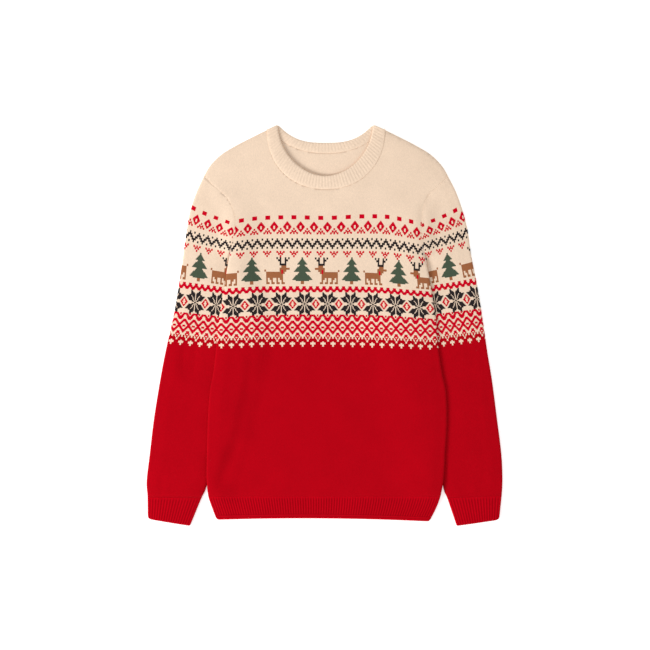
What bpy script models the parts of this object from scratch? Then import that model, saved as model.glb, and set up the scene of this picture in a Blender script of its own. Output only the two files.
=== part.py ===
"""Christmas sweater, laid out flat with its front up.

It is made as a knitter makes it: a front and a back panel with ribbed hems, two set-in
sleeves with ribbed cuffs, and a ribbed neckband in a front and a back half. Each piece
is a knitted wall. The sleeves are flattened tubes on the ground, and the panels of the
body lie over the inner edge of each sleeve.

Frame: the origin is the middle of the footprint, on the ground. +Z is up through the
front of the sweater, +Y points from hem to neck. Left and right are the wearer's, so
the right sleeve lies on the -X side. Sizes are in millimetres until a mesh is made.
"""
import math
from collections import namedtuple

import bpy
from mathutils import Vector

MM = 0.001

# The cloth and how its layers lie
WALL = 2.2                # knitted wall
SEAM = 0.35               # clearance between two pieces at a seam
CLOSED_GAP = 0.4          # space between two layers at a folded or sewn edge
LAID_GAP = 1.3            # and a little way in from that edge
LAID_GAP_REACH = 14.0
PUFF = 1.2                # further rise of the front in the middle of the body
PUFF_REACH = 130.0
ROUNDING = 4.0            # width of the rounded edge at a fold
LIP = 0.5                 # share of the wall that is left at the edge of a rounded fold

# The body over the sleeves
LIFT = 6.4                # height of the body where a sleeve lies under it
LIFT_SHELF = 8.0          # the body stays up this far past the hidden edge of the sleeve
LIFT_SLOPE = 38.0         # and comes down to the ground over this length
SLEEVE_DROP = 30.0        # length over which a sleeve comes down from the armhole
LIFT_END_Y = -284.0       # below this the sleeves lie clear of the body
LIFT_END_SLOPE = 44.0
BESIDE = 1.0              # clearance between the side of the body and a sleeve beside it

# Levels of the body
HEM_TOP_Y = -300.0
HEM_EDGE_RIGHT_Y = -339.0
HEM_EDGE_LEFT_Y = -342.0
UNDERARM_Y = 137.8
STRAIGHT_TOP_Y = 170.0    # rows of the panels run straight across up to this level

# The neckline: each curve hangs from the tops of the shoulders, and its two powers make
# it a full U on the front and a shallow scoop on the back
NeckShape = namedtuple("NeckShape", "middle_x half_width top_y depth across_power depth_power")
FRONT_NECK_SEAM = NeckShape(
    middle_x=2.5, half_width=102.4, top_y=341.7, depth=103.7, across_power=2.15, depth_power=0.465
)
BACK_NECK_SEAM = FRONT_NECK_SEAM._replace(depth=40.3, across_power=2.25, depth_power=1.0)
FRONT_NECK_EDGE = NeckShape(
    middle_x=1.5, half_width=83.2, top_y=350.6, depth=89.8, across_power=1.88, depth_power=0.53
)
BACK_NECK_EDGE = FRONT_NECK_EDGE._replace(depth=31.7, across_power=2.9, depth_power=1.0)

# Ribs
BAND_WALL = 2.6
FRONT_BAND_LOWEST = 3.5   # the front half of the neckband stays above the back half
BAND_RIB_HEIGHT = 0.7
BACK_BAND_RIB_HEIGHT = 0.4
FRONT_BAND_RIBS = 56
BACK_BAND_RIBS = 36
HEM_RIBS = 74
HEM_RIB_HEIGHT = 0.9
CUFF_RIBS = 18
CUFF_RIB_HEIGHT = 0.8
CUFF_EDGE_STEP = 0.45     # the first rib of a cuff starts this share of the rounding in

# A band of rib from its seam to its free edge: how far along, and the share of its
# thickness that it has there
BandStep = namedtuple("BandStep", "along thickness")
BAND_STEPS = (
    BandStep(along=0.0, thickness=1.0),
    BandStep(along=0.92, thickness=1.0),
    BandStep(along=1.0, thickness=0.6),
)

# How finely the panels are divided
SIDE_COLUMNS = 8          # columns between a side edge and the neckline
NECK_COLUMNS = 20
STRAIGHT_ROWS = 15        # rows between hem rib and underarm
TOP_ROWS = 5              # rows between there and the rounded shoulder
EDGE_STEPS = (0.0, 0.35 * ROUNDING, ROUNDING)
EDGE_CLEARANCE = 6.0      # no other column of a sleeve comes this near to its edges
BACK_HEM_COLUMNS = 24

# The side edges of the body: x_min is the wearer's right side, x_max the left
BodyRow = namedtuple("BodyRow", "y x_min x_max")
BODY_ROWS = (
    BodyRow(y=-342.0, x_min=-189.0, x_max=185.0),
    BodyRow(y=-320.0, x_min=-197.2, x_max=196.0),
    BodyRow(y=-300.0, x_min=-203.3, x_max=202.8),
    BodyRow(y=-268.0, x_min=-206.2, x_max=208.2),
    BodyRow(y=-224.0, x_min=-205.7, x_max=210.8),
    BodyRow(y=-166.0, x_min=-204.0, x_max=213.9),
    BodyRow(y=-114.0, x_min=-200.3, x_max=211.8),
    BodyRow(y=-84.0, x_min=-194.5, x_max=205.5),
    BodyRow(y=-32.0, x_min=-188.7, x_max=198.0),
    BodyRow(y=8.0, x_min=-185.3, x_max=195.0),
    BodyRow(y=38.0, x_min=-179.7, x_max=190.5),
    BodyRow(y=60.0, x_min=-176.0, x_max=187.2),
    BodyRow(y=96.0, x_min=-170.6, x_max=180.6),
    BodyRow(y=134.0, x_min=-162.8, x_max=171.6),
    BodyRow(y=160.0, x_min=-158.5, x_max=169.7),
    BodyRow(y=187.0, x_min=-156.4, x_max=171.0),
    BodyRow(y=213.0, x_min=-165.0, x_max=174.5),
    BodyRow(y=231.0, x_min=-179.5, x_max=184.5),
    BodyRow(y=241.0, x_min=-191.7, x_max=196.8),
    BodyRow(y=261.0, x_min=-211.0, x_max=216.0),
)

# The shoulder line, by its distance out from the middle of the neck
ShoulderRow = namedtuple("ShoulderRow", "out y")
SHOULDER_ROWS = (
    ShoulderRow(out=102.4, y=341.7),
    ShoulderRow(out=117.0, y=334.5),
    ShoulderRow(out=130.0, y=328.0),
    ShoulderRow(out=153.0, y=316.3),
    ShoulderRow(out=178.0, y=301.8),
    ShoulderRow(out=192.0, y=290.4),
    ShoulderRow(out=205.0, y=275.7),
    ShoulderRow(out=213.5, y=261.0),
)

# Lines across a sleeve, from the shoulder to the end of the cuff: where each meets the
# outer edge, the level where it meets the inner edge, and how far that inner edge lies
# under the side of the body (negative where the sleeve lies clear of it)
SleeveRow = namedtuple("SleeveRow", "right_x right_y left_x left_y inner_y under")
SLEEVE_ROWS = (
    SleeveRow(right_x=-211.0, right_y=261.0, left_x=216.0, left_y=261.0, inner_y=137.8, under=-1.0),
    SleeveRow(right_x=-224.2, right_y=232.3, left_x=229.7, left_y=234.1, inner_y=129.0, under=-1.0),
    SleeveRow(right_x=-235.5, right_y=199.1, left_x=241.1, left_y=202.6, inner_y=118.5, under=-1.0),
    SleeveRow(right_x=-241.8, right_y=164.1, left_x=250.7, left_y=165.8, inner_y=106.3, under=-1.0),
    SleeveRow(right_x=-248.2, right_y=116.8, left_x=257.2, left_y=120.3, inner_y=83.6, under=14.0),
    SleeveRow(right_x=-255.6, right_y=67.8, left_x=267.3, left_y=69.6, inner_y=43.3, under=36.0),
    SleeveRow(right_x=-264.3, right_y=17.1, left_x=276.1, left_y=17.1, inner_y=-4.0, under=49.0),
    SleeveRow(right_x=-278.0, right_y=-44.2, left_x=284.8, left_y=-44.2, inner_y=-60.0, under=46.0),
    SleeveRow(right_x=-288.0, right_y=-96.7, left_x=293.4, left_y=-96.7, inner_y=-111.6, under=40.0),
    SleeveRow(right_x=-299.0, right_y=-165.0, left_x=302.3, left_y=-165.0, inner_y=-179.0, under=29.0),
    SleeveRow(right_x=-306.3, right_y=-226.2, left_x=309.7, left_y=-224.5, inner_y=-239.3, under=14.0),
    SleeveRow(right_x=-311.8, right_y=-274.0, left_x=311.8, left_y=-268.2, inner_y=-284.8, under=-2.0),
    SleeveRow(right_x=-310.2, right_y=-301.5, left_x=310.5, left_y=-299.0, inner_y=-303.0, under=-12.8),
    SleeveRow(right_x=-309.8, right_y=-338.2, left_x=306.3, left_y=-339.6, inner_y=-350.6, under=-46.0),
)
CUFF_TOP_ROW = 12
CUFF_END_ROW = 13
BESIDE_ROW = 3            # down to this row a sleeve lies beside the body, then under it
CAP_FADE_ROWS = 5.0       # the curve of the armhole has died out after this many rows

# Soft creases in the upper layer: a line, how wide and how deep it is (a ridge is negative)
Crease = namedtuple("Crease", "x0 y0 x1 y1 width depth")
CREASES = (
    Crease(x0=-198.0, y0=252.0, x1=-207.0, y1=208.0, width=9.0, depth=0.9),
    Crease(x0=166.0, y0=222.0, x1=163.0, y1=140.0, width=9.0, depth=0.8),
    Crease(x0=-160.0, y0=-286.0, x1=-176.0, y1=-190.0, width=12.0, depth=0.8),
    Crease(x0=176.0, y0=-250.0, x1=168.0, y1=-120.0, width=14.0, depth=0.6),
    Crease(x0=-262.0, y0=-20.0, x1=-240.0, y1=-120.0, width=11.0, depth=0.7),
    Crease(x0=268.0, y0=-30.0, x1=248.0, y1=-120.0, width=11.0, depth=0.7),
)


# ---------------------------------------------------------------- plain arithmetic

def eased(t):
    """0 to 1 with a soft start and a soft end."""
    t = min(max(t, 0.0), 1.0)
    return t * t * (3.0 - 2.0 * t)


def between(a, b, t):
    return a + (b - a) * t


def curve_from(rows, along, column):
    """A smooth curve through one column of a table, read by another column of it."""
    knots = sorted((getattr(row, along), getattr(row, column)) for row in rows)
    last = len(knots) - 1

    def slope(i):
        low = knots[max(i - 1, 0)]
        high = knots[min(i + 1, last)]
        return (high[1] - low[1]) / (high[0] - low[0])

    slopes = [slope(i) for i in range(len(knots))]

    def value(at):
        at = min(max(at, knots[0][0]), knots[last][0])
        i = max(k for k in range(last) if knots[k][0] <= at)
        span = knots[i + 1][0] - knots[i][0]
        t = (at - knots[i][0]) / span
        rise = knots[i + 1][1] - knots[i][1]
        bend_in = slopes[i] * span - rise
        bend_out = rise - slopes[i + 1] * span
        return knots[i][1] + rise * t + t * (1.0 - t) * (bend_in * (1.0 - t) + bend_out * t)

    return value


def evenly_spaced(points, count):
    """Resample a line of points into count points at even steps along it."""
    lengths = [0.0]
    for before, after in zip(points, points[1:]):
        lengths.append(lengths[-1] + (after - before).length)
    result = []
    k = 0
    for step in range(count):
        target = lengths[-1] * step / (count - 1)
        while k < len(points) - 2 and lengths[k + 1] < target:
            k += 1
        part = (target - lengths[k]) / (lengths[k + 1] - lengths[k])
        result.append(points[k].lerp(points[k + 1], min(max(part, 0.0), 1.0)))
    return result


# ---------------------------------------------------------------- outlines of the pieces

right_side_x = curve_from(BODY_ROWS, "y", "x_min")
left_side_x = curve_from(BODY_ROWS, "y", "x_max")
shoulder_y = curve_from(SHOULDER_ROWS, "out", "y")
hidden_reach = curve_from(SLEEVE_ROWS, "inner_y", "under")
SHOULDER_TIP_Y = SHOULDER_ROWS[-1].y
SIDES = {"right": -1, "left": 1}


def side_x(side, y):
    """The side edge of the body, and above the underarm the armhole edge."""
    if side < 0:
        return right_side_x(y)
    return left_side_x(y)


def hem_edge_y(x):
    """The bottom of the hem, a little lower towards the wearer's left."""
    start = side_x(-1, HEM_EDGE_RIGHT_Y)
    end = side_x(1, HEM_EDGE_LEFT_Y)
    return between(HEM_EDGE_RIGHT_Y, HEM_EDGE_LEFT_Y, (x - start) / (end - start))


def neck_y(x, shape):
    """The level of a curve of the neckline."""
    across = min(abs(x - shape.middle_x) / shape.half_width, 1.0)
    return shape.top_y - shape.depth * (1.0 - across ** shape.across_power) ** shape.depth_power


def top_edge_y(x, neck_seam):
    """The top edge of a panel: shoulder, neck seam, shoulder."""
    out = abs(x - neck_seam.middle_x)
    if out >= neck_seam.half_width:
        return shoulder_y(out)
    return neck_y(x, neck_seam)


def neck_curve(shape, count):
    """A curve of the neckline from the right shoulder to the left one, at even steps."""
    fine = 600
    points = []
    for step in range(fine + 1):
        x = shape.middle_x - shape.half_width * math.cos(math.pi * step / fine)
        points.append(Vector((x, neck_y(x, shape), 0.0)))
    return evenly_spaced(points, count)


# ---------------------------------------------------------------- heights of the layers

def armhole_lift(y):
    """How high the armhole seam lies: on the ground at the shoulder, up at the underarm."""
    return LIFT * eased((SHOULDER_TIP_Y - y) / (SHOULDER_TIP_Y - UNDERARM_Y))


def body_lift(x, y):
    """Height of the underside of the body where a sleeve holds it up."""
    total = 0.0
    for side in SIDES.values():
        inside = side * (side_x(side, y) - x)
        reach = max(hidden_reach(y), 0.0) if y < UNDERARM_Y else 0.0
        across = 1.0 - eased((inside - reach - LIFT_SHELF) / LIFT_SLOPE)
        if y > UNDERARM_Y:
            along = armhole_lift(y)
        else:
            along = LIFT * (1.0 - eased((LIFT_END_Y - y) / LIFT_END_SLOPE))
        total += across * along
    return total


def layer_gap(distance):
    """Space between the two layers of the cloth at a distance from a closed edge."""
    near = eased(distance / LAID_GAP_REACH)
    far = eased((distance - LAID_GAP_REACH) / PUFF_REACH)
    return CLOSED_GAP + (LAID_GAP - CLOSED_GAP) * near + PUFF * far


def rounded(distance):
    """Share of the wall that is left near a rounded fold."""
    t = min(max(distance / ROUNDING, 0.0), 1.0)
    return LIP + (1.0 - LIP) * math.sqrt(1.0 - (1.0 - t) ** 2)


def crease(x, y):
    """How far the creases push the upper layer down at a point."""
    total = 0.0
    for fold in CREASES:
        start = Vector((fold.x0, fold.y0))
        line = Vector((fold.x1, fold.y1)) - start
        offset = Vector((x, y)) - start
        t = offset.dot(line) / line.length_squared
        aside = (offset - line * min(max(t, 0.0), 1.0)).length / fold.width
        along = eased(1.5 * (1.0 - abs(2.0 * t - 1.0)))
        total += fold.depth * along * math.exp(-aside * aside)
    return total


def closed_edge_distance(x, y):
    """Distance from a point of the body to the nearest side seam or shoulder seam."""
    nearest = []
    for side in SIDES.values():
        if y < UNDERARM_Y:
            nearest.append(side * (side_x(side, y) - x))
        else:
            seam_end = Vector((side_x(side, UNDERARM_Y), UNDERARM_Y))
            nearest.append((Vector((x, y)) - seam_end).length)
        for outer, inner in zip(SHOULDER_ROWS[1:], SHOULDER_ROWS):
            start = Vector((FRONT_NECK_SEAM.middle_x + side * inner.out, inner.y))
            line = Vector((FRONT_NECK_SEAM.middle_x + side * outer.out, outer.y)) - start
            offset = Vector((x, y)) - start
            t = min(max(offset.dot(line) / line.length_squared, 0.0), 1.0)
            nearest.append((offset - line * t).length)
    return max(min(nearest), 0.0)


# ---------------------------------------------------------------- building meshes

def principled(name, color, roughness):
    material = bpy.data.materials.new(name)
    material.use_nodes = True
    shader = material.node_tree.nodes["Principled BSDF"]
    shader.inputs["Base Color"].default_value = (*color, 1.0)
    shader.inputs["Roughness"].default_value = roughness
    shader.inputs["Metallic"].default_value = 0.0
    return material


def add_object(collection, name, vertices, faces, material):
    mesh = bpy.data.meshes.new(name)
    mesh.from_pydata([Vector(v) * MM for v in vertices], [], faces)
    mesh.materials.append(material)
    mesh.update()
    piece = bpy.data.objects.new(name, mesh)
    collection.objects.link(piece)
    return piece


def wall_from_grids(upper, lower):
    """A closed wall between two grids of points with the same rows and columns.

    Columns run from -X to +X and rows from -Y to +Y.
    """
    rows = len(upper)
    columns = len(upper[0])
    vertices = [point for row in upper for point in row]
    vertices += [point for row in lower for point in row]
    under = rows * columns
    faces = []
    for j in range(rows - 1):
        for i in range(columns - 1):
            a = j * columns + i
            faces.append((a, a + 1, a + 1 + columns, a + columns))
            faces.append((under + a, under + a + columns, under + a + 1 + columns, under + a + 1))
    rim = [i for i in range(columns)]
    rim += [j * columns + columns - 1 for j in range(1, rows)]
    rim += [(rows - 1) * columns + i for i in range(columns - 2, -1, -1)]
    rim += [j * columns for j in range(rows - 2, 0, -1)]
    for a, b in zip(rim, rim[1:] + rim[:1]):
        faces.append((b, a, under + a, under + b))
    return vertices, faces


def tube_from_rings(outer, inner):
    """A closed, open-ended tube wall from two stacks of rings.

    Rings run counterclockwise seen from the start of the stack looking back along it.
    """
    stacks = len(outer)
    count = len(outer[0])
    vertices = [point for ring in outer for point in ring]
    vertices += [point for ring in inner for point in ring]
    inside = stacks * count
    faces = []
    for j in range(stacks - 1):
        for i in range(count):
            a = j * count + i
            b = j * count + (i + 1) % count
            faces.append((a, b, b + count, a + count))
            faces.append((inside + a, inside + a + count, inside + b + count, inside + b))
    end = (stacks - 1) * count
    for i in range(count):
        k = (i + 1) % count
        faces.append((k, i, inside + i, inside + k))
        faces.append((end + i, end + k, inside + end + k, inside + end + i))
    return vertices, faces


# ---------------------------------------------------------------- the body panels

def panel_columns(neck_seam):
    """Where the columns of a panel lie, from one side edge to the other.

    Each column is a function from the level y to x. Those below the neck run straight,
    those beside it share the width up to the side edge.
    """
    neck_xs = [point.x for point in neck_curve(neck_seam, NECK_COLUMNS + 1)]

    def beside(side, neck_x):
        lines = [lambda y, d=d: side_x(side, y) - side * d for d in EDGE_STEPS]
        for step in range(1, SIDE_COLUMNS - 1):
            t = step / (SIDE_COLUMNS - 1)
            lines.append(lambda y, t=t: between(side_x(side, y) - side * ROUNDING, neck_x, t))
        return lines

    straight = [lambda y, x=x: x for x in neck_xs]
    return beside(-1, neck_xs[0]) + straight + beside(1, neck_xs[-1])[::-1]


def column_top(column, neck_seam):
    """The level where a column of a panel meets the panel's top edge, found by halving."""
    low = STRAIGHT_TOP_Y
    high = neck_seam.top_y + 1.0
    halvings = 40
    for _ in range(halvings):
        middle = 0.5 * (low + high)
        if top_edge_y(column(middle), neck_seam) > middle:
            low = middle
        else:
            high = middle
    return low


def panel_levels(top):
    """Levels of the rows of a panel along one column that ends at top."""
    levels = [between(HEM_TOP_Y, UNDERARM_Y, j / STRAIGHT_ROWS) for j in range(STRAIGHT_ROWS + 1)]
    levels += [between(STRAIGHT_TOP_Y, top - ROUNDING, j / TOP_ROWS) for j in range(TOP_ROWS)]
    levels += [top - d for d in reversed(EDGE_STEPS)]
    return levels


def panel_plan(neck_seam):
    """The grid of a panel seen from above, as rows of (x, y)."""
    by_column = []
    for column in panel_columns(neck_seam):
        top = column_top(column, neck_seam)
        by_column.append([(column(y), y) for y in panel_levels(top)])
    return [list(row) for row in zip(*by_column)]


def front_panel(collection, material):
    upper = []
    lower = []
    for row in panel_plan(FRONT_NECK_SEAM):
        upper_row = []
        lower_row = []
        for x, y in row:
            distance = closed_edge_distance(x, y)
            base = body_lift(x, y) + WALL + layer_gap(distance) - crease(x, y)
            lower_row.append((x, y, base))
            upper_row.append((x, y, base + WALL * rounded(distance)))
        upper.append(upper_row)
        lower.append(lower_row)
    add_object(collection, "front_panel", *wall_from_grids(upper, lower), material)


def back_panel(collection, material):
    upper = []
    lower = []
    for row in panel_plan(BACK_NECK_SEAM):
        heights = [body_lift(x, y) for x, y in row]
        lower.append([(x, y, z) for (x, y), z in zip(row, heights)])
        upper.append([(x, y, z + WALL) for (x, y), z in zip(row, heights)])
    add_object(collection, "back_panel", *wall_from_grids(upper, lower), material)


# ---------------------------------------------------------------- ribs

def rib(index):
    """1 on the ridge of a rib and 0 in the groove beside it, column by column."""
    return index % 2


def hem_plan(columns, drops):
    """The grid of a hem rib seen from above: rows from the bottom edge up to the panel."""
    plan = []
    for drop in drops:
        row = []
        for i in range(columns + 1):
            t = i / columns
            middle_x = between(side_x(-1, HEM_TOP_Y), side_x(1, HEM_TOP_Y), t)
            y = between(HEM_TOP_Y - SEAM, hem_edge_y(middle_x), drop)
            row.append((between(side_x(-1, y), side_x(1, y), t), y))
        plan.append(row)
    return plan


def front_hem_rib(collection, material):
    steps = BAND_STEPS[::-1]
    upper = []
    lower = []
    for step, row in zip(steps, hem_plan(2 * HEM_RIBS, [step.along for step in steps])):
        upper_row = []
        lower_row = []
        for i, (x, y) in enumerate(row):
            aside = min(x - side_x(-1, y), side_x(1, y) - x)
            base = body_lift(x, y) + WALL + layer_gap(aside)
            height = WALL * rounded(aside) + HEM_RIB_HEIGHT * rib(i)
            lower_row.append((x, y, base))
            upper_row.append((x, y, base + height * step.thickness))
        upper.append(upper_row)
        lower.append(lower_row)
    add_object(collection, "front_hem_rib", *wall_from_grids(upper, lower), material)


def back_hem_rib(collection, material):
    upper = []
    lower = []
    for row in hem_plan(BACK_HEM_COLUMNS, [step.along for step in reversed(BAND_STEPS)]):
        heights = [body_lift(x, y) for x, y in row]
        lower.append([(x, y, z) for (x, y), z in zip(row, heights)])
        upper.append([(x, y, z + WALL) for (x, y), z in zip(row, heights)])
    add_object(collection, "back_hem_rib", *wall_from_grids(upper, lower), material)


def neckband(collection, name, material, neck_seam, neck_edge, ribs, rib_height, base_at):
    """One half of the neckband, between the neck seam and its free edge.

    Each rib runs from the seam to the free edge. The seam side follows the panel's edge,
    and base_at gives the height of the underside of a rib from its point on the seam.
    """
    count = 2 * ribs + 1
    seam = evenly_spaced(neck_curve(neck_seam, NECK_COLUMNS + 1), count)
    edge = neck_curve(neck_edge, count)
    upper = []
    lower = []
    for step in BAND_STEPS:
        upper_row = []
        lower_row = []
        for i, (outer, inner) in enumerate(zip(seam, edge)):
            start = outer + (inner - outer).normalized() * SEAM
            point = start.lerp(inner, step.along)
            base = base_at(outer)
            height = BAND_WALL + rib_height * rib(i)
            lower_row.append((point.x, point.y, base))
            upper_row.append((point.x, point.y, base + height * step.thickness))
        upper.append(upper_row)
        lower.append(lower_row)
    add_object(collection, name, *wall_from_grids(upper, lower), material)


def front_band_base(seam_point):
    """The front half of the neckband goes on from the front panel at its own height."""
    distance = closed_edge_distance(seam_point.x, seam_point.y)
    return max(WALL + layer_gap(distance), FRONT_BAND_LOWEST)


def ground(seam_point):
    return 0.0


# ---------------------------------------------------------------- the sleeves

def armhole_edge(side):
    """The armhole edge of the body, from the shoulder tip to the underarm."""
    top = column_top(lambda y: side_x(side, y), FRONT_NECK_SEAM)
    levels = panel_levels(top)[STRAIGHT_ROWS:]
    return [Vector((side_x(side, y), y)) for y in reversed(levels)]


def sleeve_seam(side):
    """The armhole edge of a sleeve: that of the body, moved out by the seam clearance."""
    edge = armhole_edge(side)
    moved = []
    for k, point in enumerate(edge):
        before = edge[max(k - 1, 0)]
        after = edge[min(k + 1, len(edge) - 1)]
        direction = (after - before).normalized()
        outwards = Vector((direction.y, -direction.x)) * -side
        moved.append(point + outwards * SEAM)
    return moved


def shares_along(points):
    """The share of a line's length at each of its points, from 0 to 1."""
    lengths = [0.0]
    for before, after in zip(points, points[1:]):
        lengths.append(lengths[-1] + (after - before).length)
    return [length / lengths[-1] for length in lengths]


def point_at(points, shares, share):
    for k in range(len(points) - 1):
        if share <= shares[k + 1]:
            return points[k].lerp(points[k + 1], (share - shares[k]) / (shares[k + 1] - shares[k]))
    return points[-1].copy()


class Sleeve:
    """The outline of one sleeve: a point for each share across it and row along it."""

    def __init__(self, side_name):
        self.side = SIDES[side_name]
        numbered = namedtuple("Numbered", "row x y inner_y under")
        rows = []
        for number, row in enumerate(SLEEVE_ROWS):
            x = getattr(row, side_name + "_x")
            y = getattr(row, side_name + "_y")
            rows.append(numbered(number, x, y, row.inner_y, row.under))
        self.outer_x = curve_from(rows, "row", "x")
        self.outer_y = curve_from(rows, "row", "y")
        self.inner_y = curve_from(rows, "row", "inner_y")
        self.under = curve_from(rows, "row", "under")
        self.seam = sleeve_seam(self.side)
        self.seam_shares = shares_along(self.seam)

    def edges(self, row):
        """The outer and the inner edge of the sleeve at a row."""
        outer = Vector((self.outer_x(row), self.outer_y(row)))
        y = self.inner_y(row)
        under = self.under(row)
        if row <= BESIDE_ROW:
            under = -BESIDE
        inner = Vector((side_x(self.side, y) - self.side * under, y))
        return outer, inner

    def plan(self, share, row):
        """A point of the sleeve seen from above; share is 0 at the outer edge."""
        outer, inner = self.edges(row)
        straight = outer.lerp(inner, share)
        first = self.seam[0].lerp(self.seam[-1], share)
        bulge = point_at(self.seam, self.seam_shares, share) - first
        start_outer, start_inner = self.edges(0)
        shift = first - start_outer.lerp(start_inner, share)
        keep = 1.0 - eased(row / CAP_FADE_ROWS)
        return straight + (bulge + shift) * keep

    def base(self, share, row):
        """Height of the underside: up at the armhole, down on the ground past it."""
        seam_point = self.plan(share, 0)
        walked = (self.plan(share, row) - seam_point).length
        return armhole_lift(seam_point.y) * (1.0 - eased(walked / SLEEVE_DROP))

    def width(self, row):
        return (self.plan(1.0, row) - self.plan(0.0, row)).length


def ring_shares(sleeve):
    """Shares across a sleeve where its rings have points, apart from the two edges."""
    width = sleeve.width(CUFF_TOP_ROW)
    near = [step / width for step in EDGE_STEPS[1:]]
    far = [1.0 - share for share in reversed(near)]
    clear = EDGE_CLEARANCE / width
    return near + [share for share in sleeve.seam_shares if clear < share < 1.0 - clear] + far


def ring_at(sleeve, row, shares, ridges, inside):
    """One ring of a flattened tube: over the top from the outer edge, and back below.

    Inside, the ring keeps a wall's thickness from the folded edges and from both layers.
    """
    width = sleeve.width(row)

    def placed(share):
        distance = width * min(share, 1.0 - share)
        if inside:
            inset = (WALL + CLOSED_GAP) * max(0.0, 1.0 - distance / (2.0 * LAID_GAP_REACH)) / width
            share += inset if share < 0.5 else -inset
        place = sleeve.plan(share, row)
        return place, sleeve.base(share, row), distance

    def fold(share):
        place, base, _ = placed(share)
        return place.x, place.y, base + WALL + 0.5 * CLOSED_GAP

    def above(share, ridge):
        place, base, distance = placed(share)
        gap = layer_gap(distance)
        gap -= min(crease(place.x, place.y), gap - CLOSED_GAP)
        wall = 0.0 if inside else WALL * rounded(distance) + ridge
        return place.x, place.y, base + WALL + gap + wall

    def below(share):
        place, base, distance = placed(share)
        wall = WALL if inside else WALL * (1.0 - rounded(distance))
        return place.x, place.y, base + wall

    ring = [fold(0.0)] + [above(share, ridge) for share, ridge in zip(shares, ridges)]
    ring += [fold(1.0)] + [below(share) for share in reversed(shares)]
    if sleeve.side < 0:
        ring.reverse()
    return ring


def sleeve_piece(collection, name, material, sleeve, rows, shares, ridges):
    flat = [0.0] * len(shares)
    outer = [ring_at(sleeve, row, shares, ridges, False) for row in rows]
    inner = [ring_at(sleeve, row, shares, flat, True) for row in rows]
    add_object(collection, name, *tube_from_rings(outer, inner), material)


def sleeve_body(collection, side_name, material):
    sleeve = Sleeve(side_name)
    shares = ring_shares(sleeve)
    length = (sleeve.plan(0.5, CUFF_END_ROW) - sleeve.plan(0.5, CUFF_TOP_ROW)).length
    seam_rows = SEAM / length
    rows = [0.5 * k for k in range(2 * BESIDE_ROW + 3)]
    rows += list(range(BESIDE_ROW + 2, CUFF_TOP_ROW)) + [CUFF_TOP_ROW - seam_rows]
    sleeve_piece(collection, side_name + "_sleeve", material, sleeve, rows, shares, [0.0] * len(shares))


def cuff_rib(collection, side_name, material):
    sleeve = Sleeve(side_name)
    width = sleeve.width(CUFF_TOP_ROW)
    margin = CUFF_EDGE_STEP * ROUNDING / width
    columns = 2 * CUFF_RIBS
    shares = [between(margin, 1.0 - margin, i / columns) for i in range(columns + 1)]
    ridges = [CUFF_RIB_HEIGHT * rib(i) for i in range(columns + 1)]
    rows = [between(CUFF_TOP_ROW, CUFF_END_ROW, step.along) for step in BAND_STEPS]
    sleeve_piece(collection, side_name + "_cuff_rib", material, sleeve, rows, shares, ridges)


# ---------------------------------------------------------------- the sweater

def clear_scene():
    for old in list(bpy.data.objects):
        bpy.data.objects.remove(old, do_unlink=True)


def build_sweater():
    clear_scene()
    collection = bpy.data.collections.new("christmas_sweater")
    bpy.context.scene.collection.children.link(collection)
    cream = principled("cream_rib_knit", (0.86, 0.68, 0.50), 0.92)
    red = principled("red_rib_knit", (0.47, 0.0, 0.006), 0.9)

    front_panel(collection, principled("front_patterned_knit", (0.80, 0.50, 0.38), 0.92))
    back_panel(collection, principled("back_patterned_knit", (0.80, 0.50, 0.38), 0.92))
    front_hem_rib(collection, red)
    back_hem_rib(collection, red)
    neckband(
        collection, "front_neckband", cream,
        neck_seam=FRONT_NECK_SEAM, neck_edge=FRONT_NECK_EDGE,
        ribs=FRONT_BAND_RIBS, rib_height=BAND_RIB_HEIGHT, base_at=front_band_base,
    )
    neckband(
        collection, "back_neckband", cream,
        neck_seam=BACK_NECK_SEAM, neck_edge=BACK_NECK_EDGE,
        ribs=BACK_BAND_RIBS, rib_height=BACK_BAND_RIB_HEIGHT, base_at=ground,
    )
    for side_name in SIDES:
        knit = principled(side_name + "_sleeve_knit", (0.70, 0.30, 0.22), 0.92)
        sleeve_body(collection, side_name, knit)
        cuff_rib(collection, side_name, red)


build_sweater()
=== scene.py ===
"""Christmas sweater, laid out flat: its knitted cloth, stitch by stitch, over the frame's solids.

The front and back panels and the two sleeves are knitted from one chart. The hem, the
cuffs and the neckband are 1x1 rib. Linking stitches join the pieces. Sizes are in
millimetres until a mesh is made. Left and right are the wearer's, so the right sleeve
lies on the -X side. Stitches are counted across a piece and courses down it, from the
first course of the patterned band.
"""

import math
from collections import namedtuple

import bpy
import numpy as np
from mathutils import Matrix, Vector


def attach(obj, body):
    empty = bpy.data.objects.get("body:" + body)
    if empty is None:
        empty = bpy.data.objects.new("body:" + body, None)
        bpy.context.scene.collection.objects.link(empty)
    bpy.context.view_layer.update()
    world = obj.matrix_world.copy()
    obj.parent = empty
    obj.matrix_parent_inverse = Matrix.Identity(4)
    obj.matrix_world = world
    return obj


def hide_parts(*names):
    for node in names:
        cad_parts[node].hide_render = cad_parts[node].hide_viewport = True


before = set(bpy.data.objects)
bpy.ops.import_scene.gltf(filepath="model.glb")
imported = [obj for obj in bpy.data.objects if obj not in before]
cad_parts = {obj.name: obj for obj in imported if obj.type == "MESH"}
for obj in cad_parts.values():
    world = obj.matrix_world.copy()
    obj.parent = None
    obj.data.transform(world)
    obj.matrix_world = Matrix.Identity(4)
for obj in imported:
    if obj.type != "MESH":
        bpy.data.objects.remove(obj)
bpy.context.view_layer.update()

MM = 0.001
SIDES = {"right": -1, "left": 1}


def table(columns, *rows):
    """Rows of numbers, read by the names of their columns."""
    row_of = namedtuple("Row", columns)
    return tuple(row_of(*row) for row in rows)


# ---------------- sizes of the sweater

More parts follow.
